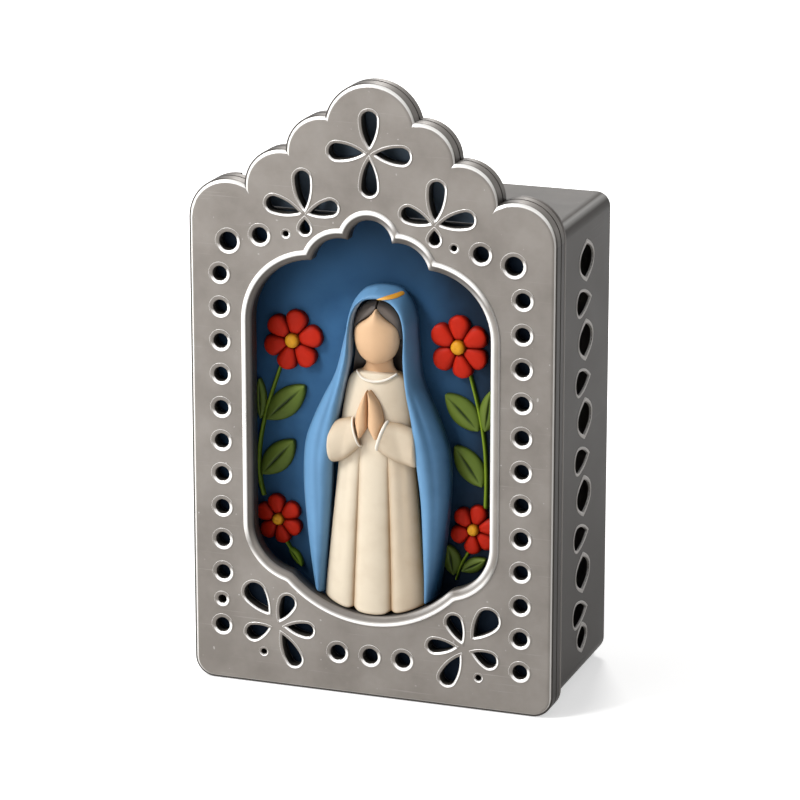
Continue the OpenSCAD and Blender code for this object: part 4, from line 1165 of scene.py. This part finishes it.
def stem_grid(path, half_low, half_top):
    fine = through(path, 3)
    rows = []
    for i, (x, z) in enumerate(fine):
        along = heading(fine, i)
        half = STEM_HALF * (half_low + (half_top - half_low) * i / (len(fine) - 1))
        # Darker at its edges as painted shade, and a painted highlight just off its middle
        rows.append([(x + along.y * half * t, z - along.x * half * t,
                      STEM_EDGE + STEM_BULGE * swell(t), 0,
                      0.8 * ramp(abs(t), 0.5, 1), 0.7 * bell(t, -0.2, 0.4))
                     for t in round_columns(8)])
    return rows


def rib(t, s):
    return bell(t, 0, 0.09) * math.sin(math.pi * ramp(s, 0.18, 0.8))


def leaf_front(x, z, t, s):
    return LEAF_EDGE + LEAF_BULGE * swell(t) - LEAF_GROOVE * rib(t, s) + LEAF_CURL * s


# Painted dark in the groove, as a wash and as its shade, and darker at the edges and towards the
# stem as painted shade
def leaf_wash(x, z, t, s):
    return min(1, rib(t, s) + 0.5 * ramp(abs(t), 0.78, 1) + 0.15 * (1 - s))


# A painted highlight along one half, growing towards the tip
def leaf_pale(x, z, t, s):
    return 0.45 * bell(t, -0.45, 0.25) * s


def leaf_grid(x0, z0, turn, length, width):
    upper = [(length * s, 0.12 + width / 2 * math.sin(math.pi * s ** 0.95) ** 0.7)
             for s in round_columns(16, 0, 1)]
    leaf = padded(upper, [(x, -z) for x, z in upper], LEAF_COLUMNS, leaf_front, level(0),
                  leaf_wash, leaf_pale)
    return turned_grid(leaf, x0, z0, turn)


def stem_leaf(path, step, side, *shape):
    x, z = STEMS[path][step]
    return leaf_grid(x + side * (STEM_HALF + LEAF_GAP), z, *shape)


for label in ("left", "right"):
    grids = [stem_grid(STEMS[f"{label}_vine"], 1.1, 0.85),
             stem_grid(STEMS[f"{label}_shoot"], 0.5, 0.9)]
    if label == "left":
        grids.append(leaf_grid(*SPROUT))
    make_relief(f"{label}_stem", grids, stem_paint, as_drawn)
    make_relief(f"{label}_leaves", [stem_leaf(*leaf) for leaf in LEAVES[label]],
                leaf_paint, as_drawn)
print("stems:", len(STEMS), "leaves:", sum(len(v) for v in LEAVES.values()))

# %% [markdown]
# ## Rolled lip
# The tin is turned over round the opening and round every piercing, so that no raw edge is
# left. Each turned edge is a small section swept along the outline of its hole. A bevel on the
# whole sheet would round the flat field too, and a sweep keeps each rim where the hole is. The
# lip is too small for its light and shade to be read from the way it faces, so each of its
# points gets its shares of bright and of dark from the way its outline runs: a painted
# highlight where its slopes face up and left, painted shade on the inner slope where it faces
# away from the light, and a little darker along the bottom.

# %% Rolled lip
def crossing(c1, r1, c2, r2, side):
    gap = math.dist(c1, c2)
    along = (gap * gap + r1 * r1 - r2 * r2) / (2 * gap)
    across = math.sqrt(max(0, r1 * r1 - along * along))
    ex, ez = (c2[0] - c1[0]) / gap, (c2[1] - c1[1]) / gap
    return c1[0] + along * ex - side * across * ez, c1[1] + along * ez + side * across * ex


def bearing(c, p):
    return math.atan2(p[1] - c[1], p[0] - c[0])


def arc(c, r, a0, a1, steps):
    return [(c[0] + r * math.cos(a), c[1] + r * math.sin(a))
            for a in [a0 + (a1 - a0) * i / steps for i in range(steps + 1)]]


ARCH_C, ARCH_R = (0, 224.3), 10.9
SCALLOP_C, SCALLOP_R = (14.2, 210.1), 15.3
HAUNCH_C, HAUNCH_R = (27.5, 181.8), 32
FOOT_C, FOOT_R = (35.5, 82), 24
BOWL_C = (0, 96.2)
SWAN_R = 9
SWAN_C = crossing(BOWL_C, BOWL_R + SWAN_R, FOOT_C, FOOT_R + SWAN_R, -1)


def opening_outline(g):
    """The opening, grown by g."""
    p1 = crossing(ARCH_C, ARCH_R + g, SCALLOP_C, SCALLOP_R + g, 1)
    p2 = crossing(SCALLOP_C, SCALLOP_R + g, HAUNCH_C, HAUNCH_R + g, 1)
    foot_a, bowl_a = bearing(FOOT_C, SWAN_C), bearing(BOWL_C, SWAN_C)
    half = (arc(ARCH_C, ARCH_R + g, math.pi / 2, bearing(ARCH_C, p1), 14)
            + arc(SCALLOP_C, SCALLOP_R + g, bearing(SCALLOP_C, p1), bearing(SCALLOP_C, p2), 14)[1:]
            + arc(HAUNCH_C, HAUNCH_R + g, bearing(HAUNCH_C, p2), 0, 20)[1:]
            + arc(FOOT_C, FOOT_R + g, 0, foot_a, 20)
            + arc(SWAN_C, SWAN_R - g, foot_a + math.pi, bowl_a + math.pi, 10)[1:]
            + arc(BOWL_C, BOWL_R + g, bowl_a, -math.pi / 2, 16)[1:])
    return half + [(-x, z) for x, z in half[-2:0:-1]]


def sweep(edge, outline, section, wall, place):
    """Adds a section of growth and depth, swept round an outline, and gives it the dark finish,
    painted shade, from step wall on.
    """
    points, faces, tones = edge
    rings = []
    for g, depth in section:
        around = outline(g)
        rings.append([len(points) + i for i in range(len(around))])
        points += [place(x, z, depth) for x, z in around]
    for k, here in enumerate(rings):
        after = rings[(k + 1) % len(rings)]
        faces += [(here[i - 1], after[i - 1], after[i], here[i]) for i in range(len(here))]
        tones += [int(k >= wall)] * len(here)


def make_edge(name, edge, finish, dark_finish, body, nodes=(), amounts=None):
    points, faces, tones = edge
    piece = make_piece(name, points, faces, finish, body, nodes, 0, amounts)
    piece.data.materials.append(dark_finish)
    piece.data.polygons.foreach_set("material_index", tones)


def on_cover(x, z, depth):
    return x * MM, FACE_Y + depth * MM, z * MM


COLLAR_BACK = 6.9
LIP_FRONT = [(5, 0.2), (4.9, -0.25), (4.7, -0.6), (4.4, -0.85), (4, -0.95), (3.6, -0.9),
             (3.1, -0.7), (2.4, -0.4), (1.7, -0.22), (1, -0.14), (0.6, 0.05), (0.25, 0.4), (0, 1)]
LIP_SECTION = LIP_FRONT + [(0, COLLAR_BACK), (0.9, COLLAR_BACK), (0.9, 0.5)]
CROWN_G = 2.8
SLOPE_GRIME, SILL_GRIME = 0.68, 0.2
OUTER_RIGHT_RUBBED = 0.35


def lip_amounts(g, out):
    """Shares of dark, mostly painted shade, and of bright, painted highlight and painted light, at
    growth g, where out points away from the opening.
    """
    up_left = out.x * STROKE[0] + out.y * STROKE[2]
    down, right = ramp(-out.y, 0.3, 0.7), ramp(out.x, 0.3, 0.8)
    # Beyond the crown: a painted highlight on the outer slope where it faces up and left and along
    # the bottom, and a painted light on the shaded outer slope at the right
    if g > CROWN_G:
        sill = down * min(1, 1.3 * bell(g, 4.2, 0.9))
        outer_right = OUTER_RIGHT_RUBBED * right * ramp(g, 4.2, 4.7)
        return 0, max(ramp(up_left, 0, 0.4), sill, outer_right)
    # On the inner slope: painted shade where it faces away from the light, a little darker along
    # the bottom, and a painted highlight at the inner edge on the right
    return max(SLOPE_GRIME * ramp(up_left, -0.1, 0.35), SILL_GRIME * down), right * bell(g, 1, 0.9)


lip = [], [], []
sweep(lip, opening_outline, LIP_SECTION, len(LIP_FRONT) - 1, on_cover)
lip_shares = []
for g, depth in LIP_SECTION:
    ring = opening_outline(g)
    closed = ring[-1:] + ring + ring[:1]
    for i in range(1, len(ring) + 1):
        along = heading(closed, i)
        lip_shares.append(lip_amounts(g, Vector((-along.y, along.x))))
make_edge("opening_lip_rolled", lip, lip_tin, inner_tin, "cover", ["opening_lip"],
          dict(zip(("wash", "pale"), zip(*lip_shares))))
print("lip:", len(lip_shares), "points")

# %% [markdown]
# ## Rims round the piercings
# The piercings are round holes and petals, in a column on each side, in flowers and in a row
# at the base. Each rim stands a little proud of the sheet, which catches the light, and gets a
# painted highlight where it faces up and left; it turns down into a wall painted dark as shade.

# %% Rims round the piercings
PETAL_SIDE = 1.35
PETAL_DIP = 0.01


def petal_outline(c, petal, mirror):
    turn, start, length, width = petal
    r = width / 2
    reach = length - r
    side_r = PETAL_SIDE * length
    span = side_r - r + PETAL_DIP
    side_x = (reach ** 2 + side_r ** 2 - span ** 2) / (2 * reach)
    side_z = math.sqrt(side_r ** 2 - side_x ** 2)
    join = math.atan2(side_z, reach - side_x)
    ct, st = math.cos(math.radians(turn)), math.sin(math.radians(turn))

    def outline(g):
        tip = math.atan2(side_z, -math.sqrt((side_r + g) ** 2 - side_z ** 2))
        upper = arc((side_x, -side_z), side_r + g, tip, join, 10)
        around = arc((reach, 0), r + g, join, -join, 18)[1:]
        lower = [(x, -z) for x, z in upper[::-1]][1:-1]
        return [(mirror * (c[0] + (start + x) * ct - z * st), c[1] + (start + x) * st + z * ct)
                for x, z in upper + around + lower]
    return outline


def round_outline(c, d):
    return lambda g: circle(c, d / 2 + g, 36)


CREST_C, SIDE_C, FOOT_FLOWER_C = (0, 266.9), (32, 235.6), (47.5, 30.9)
# bearing, start, length, width
CREST_PETALS = [(turn, 2.6, 17.6, 8.2) for turn in range(0, 360, 90)]
SIDE_PETALS = [(86, 2, 19, 8), (162, 2.2, 15, 7.4), (14, 2.4, 17.6, 7.8), (-90, 2.2, 7.6, 5.8)]
FOOT_PETALS = [(52, 7.2, 17.4, 11), (114, 3, 14, 7.8), (183, 4.6, 14, 7), (-22, 4.6, 12.6, 7.8),
               (-118, 4.8, 17.4, 8)]
HOLE_D, ROW_HOLE_D, CORNER_HOLE_D, PIN_D = 7.8, 8.3, 9.6, 3.2
COLUMN_X, COLUMN_TOP, PITCH, LAST = 75.2, 203.5, 16.5, 11
PAIRED_HOLES = [((70.7, COLUMN_TOP + PITCH - 0.5), CORNER_HOLE_D), ((54.7, 223.7), ROW_HOLE_D),
                ((41.6, 225.5), PIN_D), ((FOOT_FLOWER_C[0] + 7.1, FOOT_FLOWER_C[1] - 14.2), PIN_D)]
BASE_ROW_Z = 20.8
ODD_X = -COLUMN_X - 0.8
ODD_HOLES = [((ODD_X, COLUMN_TOP - (LAST - 1.15) * PITCH), 0.62 * HOLE_D),
             ((ODD_X, COLUMN_TOP - (LAST - 0.36) * PITCH), HOLE_D)]
round_holes = [((side * x, z), d) for side in (-1, 1) for (x, z), d in PAIRED_HOLES]
round_holes += [((COLUMN_X, COLUMN_TOP - i * PITCH), HOLE_D) for i in range(LAST + 1)]
round_holes += [((-COLUMN_X, COLUMN_TOP - i * PITCH), HOLE_D) for i in range(LAST - 1)]
round_holes += ODD_HOLES + [((i * PITCH, BASE_ROW_Z), ROW_HOLE_D) for i in (-1, 0, 1)]

# growth, depth behind the face
ROUND_RIM = [(1.75, 0.1), (1.7, -0.14), (1.67, -0.17), (1.6, -0.18), (0, 0.1), (-0.25, 0.3),
             (-0.4, 0.8), (-0.4, 5.8), (0.4, 5.8), (0.4, 1.6), (1.2, 0.6)]
PETAL_RIM = [(1.3, 0.1), (1.25, -0.16), (1.2, -0.2), (1.12, -0.22), (0, 0.02), (-0.2, 0.3),
             (-0.3, 0.8), (-0.3, 5.8), (0.4, 5.8), (0.4, 1.2), (1, 0.6)]
# From this step of the section on, the rim is painted dark as shade down into the hole
RIM_WALL = 5
PIN_SHARE = 0.5
rims = [], [], []
for centre, d in round_holes:
    share = PIN_SHARE if d == PIN_D else 1
    section = [(share * g, depth) for g, depth in ROUND_RIM]
    sweep(rims, round_outline(centre, d), section, RIM_WALL, on_cover)
petal_holes = [petal_outline(CREST_C, petal, 1) for petal in CREST_PETALS]
for mirror in (1, -1):
    petal_holes += [petal_outline(SIDE_C, petal, mirror) for petal in SIDE_PETALS]
    petal_holes += [petal_outline(FOOT_FLOWER_C, petal, mirror) for petal in FOOT_PETALS]
for hole in petal_holes:
    sweep(rims, hole, PETAL_RIM, RIM_WALL, on_cover)
make_edge("piercing_rims", rims, rim_tin, hole_tin, "cover")
print("rims:", len(round_holes), "round and", len(petal_holes), "petals")

# %% [markdown]
# ## Rims on the sides
# The box's sides are pierced with almonds and drops in turn. Their edges are rubbed bright,
# with a painted highlight, so each gets a thin rim, which turns down into a wall painted dark
# as shade.

# %% Rims on the sides
BOX_SIDE_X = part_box("box_wrap")[1].x
LENS_D, LENS_TOP, LENS_PITCH, LENS_LAST = 56, 210.6, 19.4, 10
LENS_W, LENS_H, LAST_SHARE = 21, 16.5, 0.7
DROP_W, DROP_H, DROP_SHIFT = 21, 11.2, 4
ALMOND_POWER = 2.3
ALMOND_STEPS = 24
TIP_GROWTH = 1.6
SIDE_RIM = [(1.4, 0.1), (1.25, -0.14), (0.8, -0.22), (0.1, -0.05), (-0.1, 0.4), (-0.1, 0.95),
            (0.3, 0.95), (0.9, 0.5)]
SIDE_WALL = 5


def almond_outline(c, w, h):
    def outline(g):
        half_w, half_h = w / 2 + g, h / 2 + TIP_GROWTH * g
        right = [(c[0] + half_w * (1 - abs(t) ** ALMOND_POWER), c[1] + half_h * t)
                 for t in [2 * i / ALMOND_STEPS - 1 for i in range(ALMOND_STEPS + 1)]]
        return right + [(2 * c[0] - x, z) for x, z in right[-2:0:-1]]
    return outline


side_rims = [], [], []
for side in (-1, 1):
    def on_side(d, z, depth):
        return side * (BOX_SIDE_X - depth * MM), FACE_Y + d * MM, z * MM

    for i in range(LENS_LAST + 1):
        if i == LENS_LAST:
            rim = almond_outline((LENS_D, LENS_TOP - (i - 1 + LAST_SHARE) * LENS_PITCH),
                                 LAST_SHARE * LENS_W, LAST_SHARE * LENS_H)
        elif i % 2 == 0:
            rim = almond_outline((LENS_D, LENS_TOP - i * LENS_PITCH), LENS_W, LENS_H)
        else:
            tip = (LENS_D + DROP_W / 2 - DROP_SHIFT, LENS_TOP - i * LENS_PITCH)
            rim = petal_outline(tip, (180, 0, DROP_W, DROP_H), 1)
        sweep(side_rims, rim, SIDE_RIM, SIDE_WALL, on_side)
make_edge("side_rims", side_rims, side_rim_tin, hole_tin, "box")
print("side rims:", 2 * (LENS_LAST + 1))
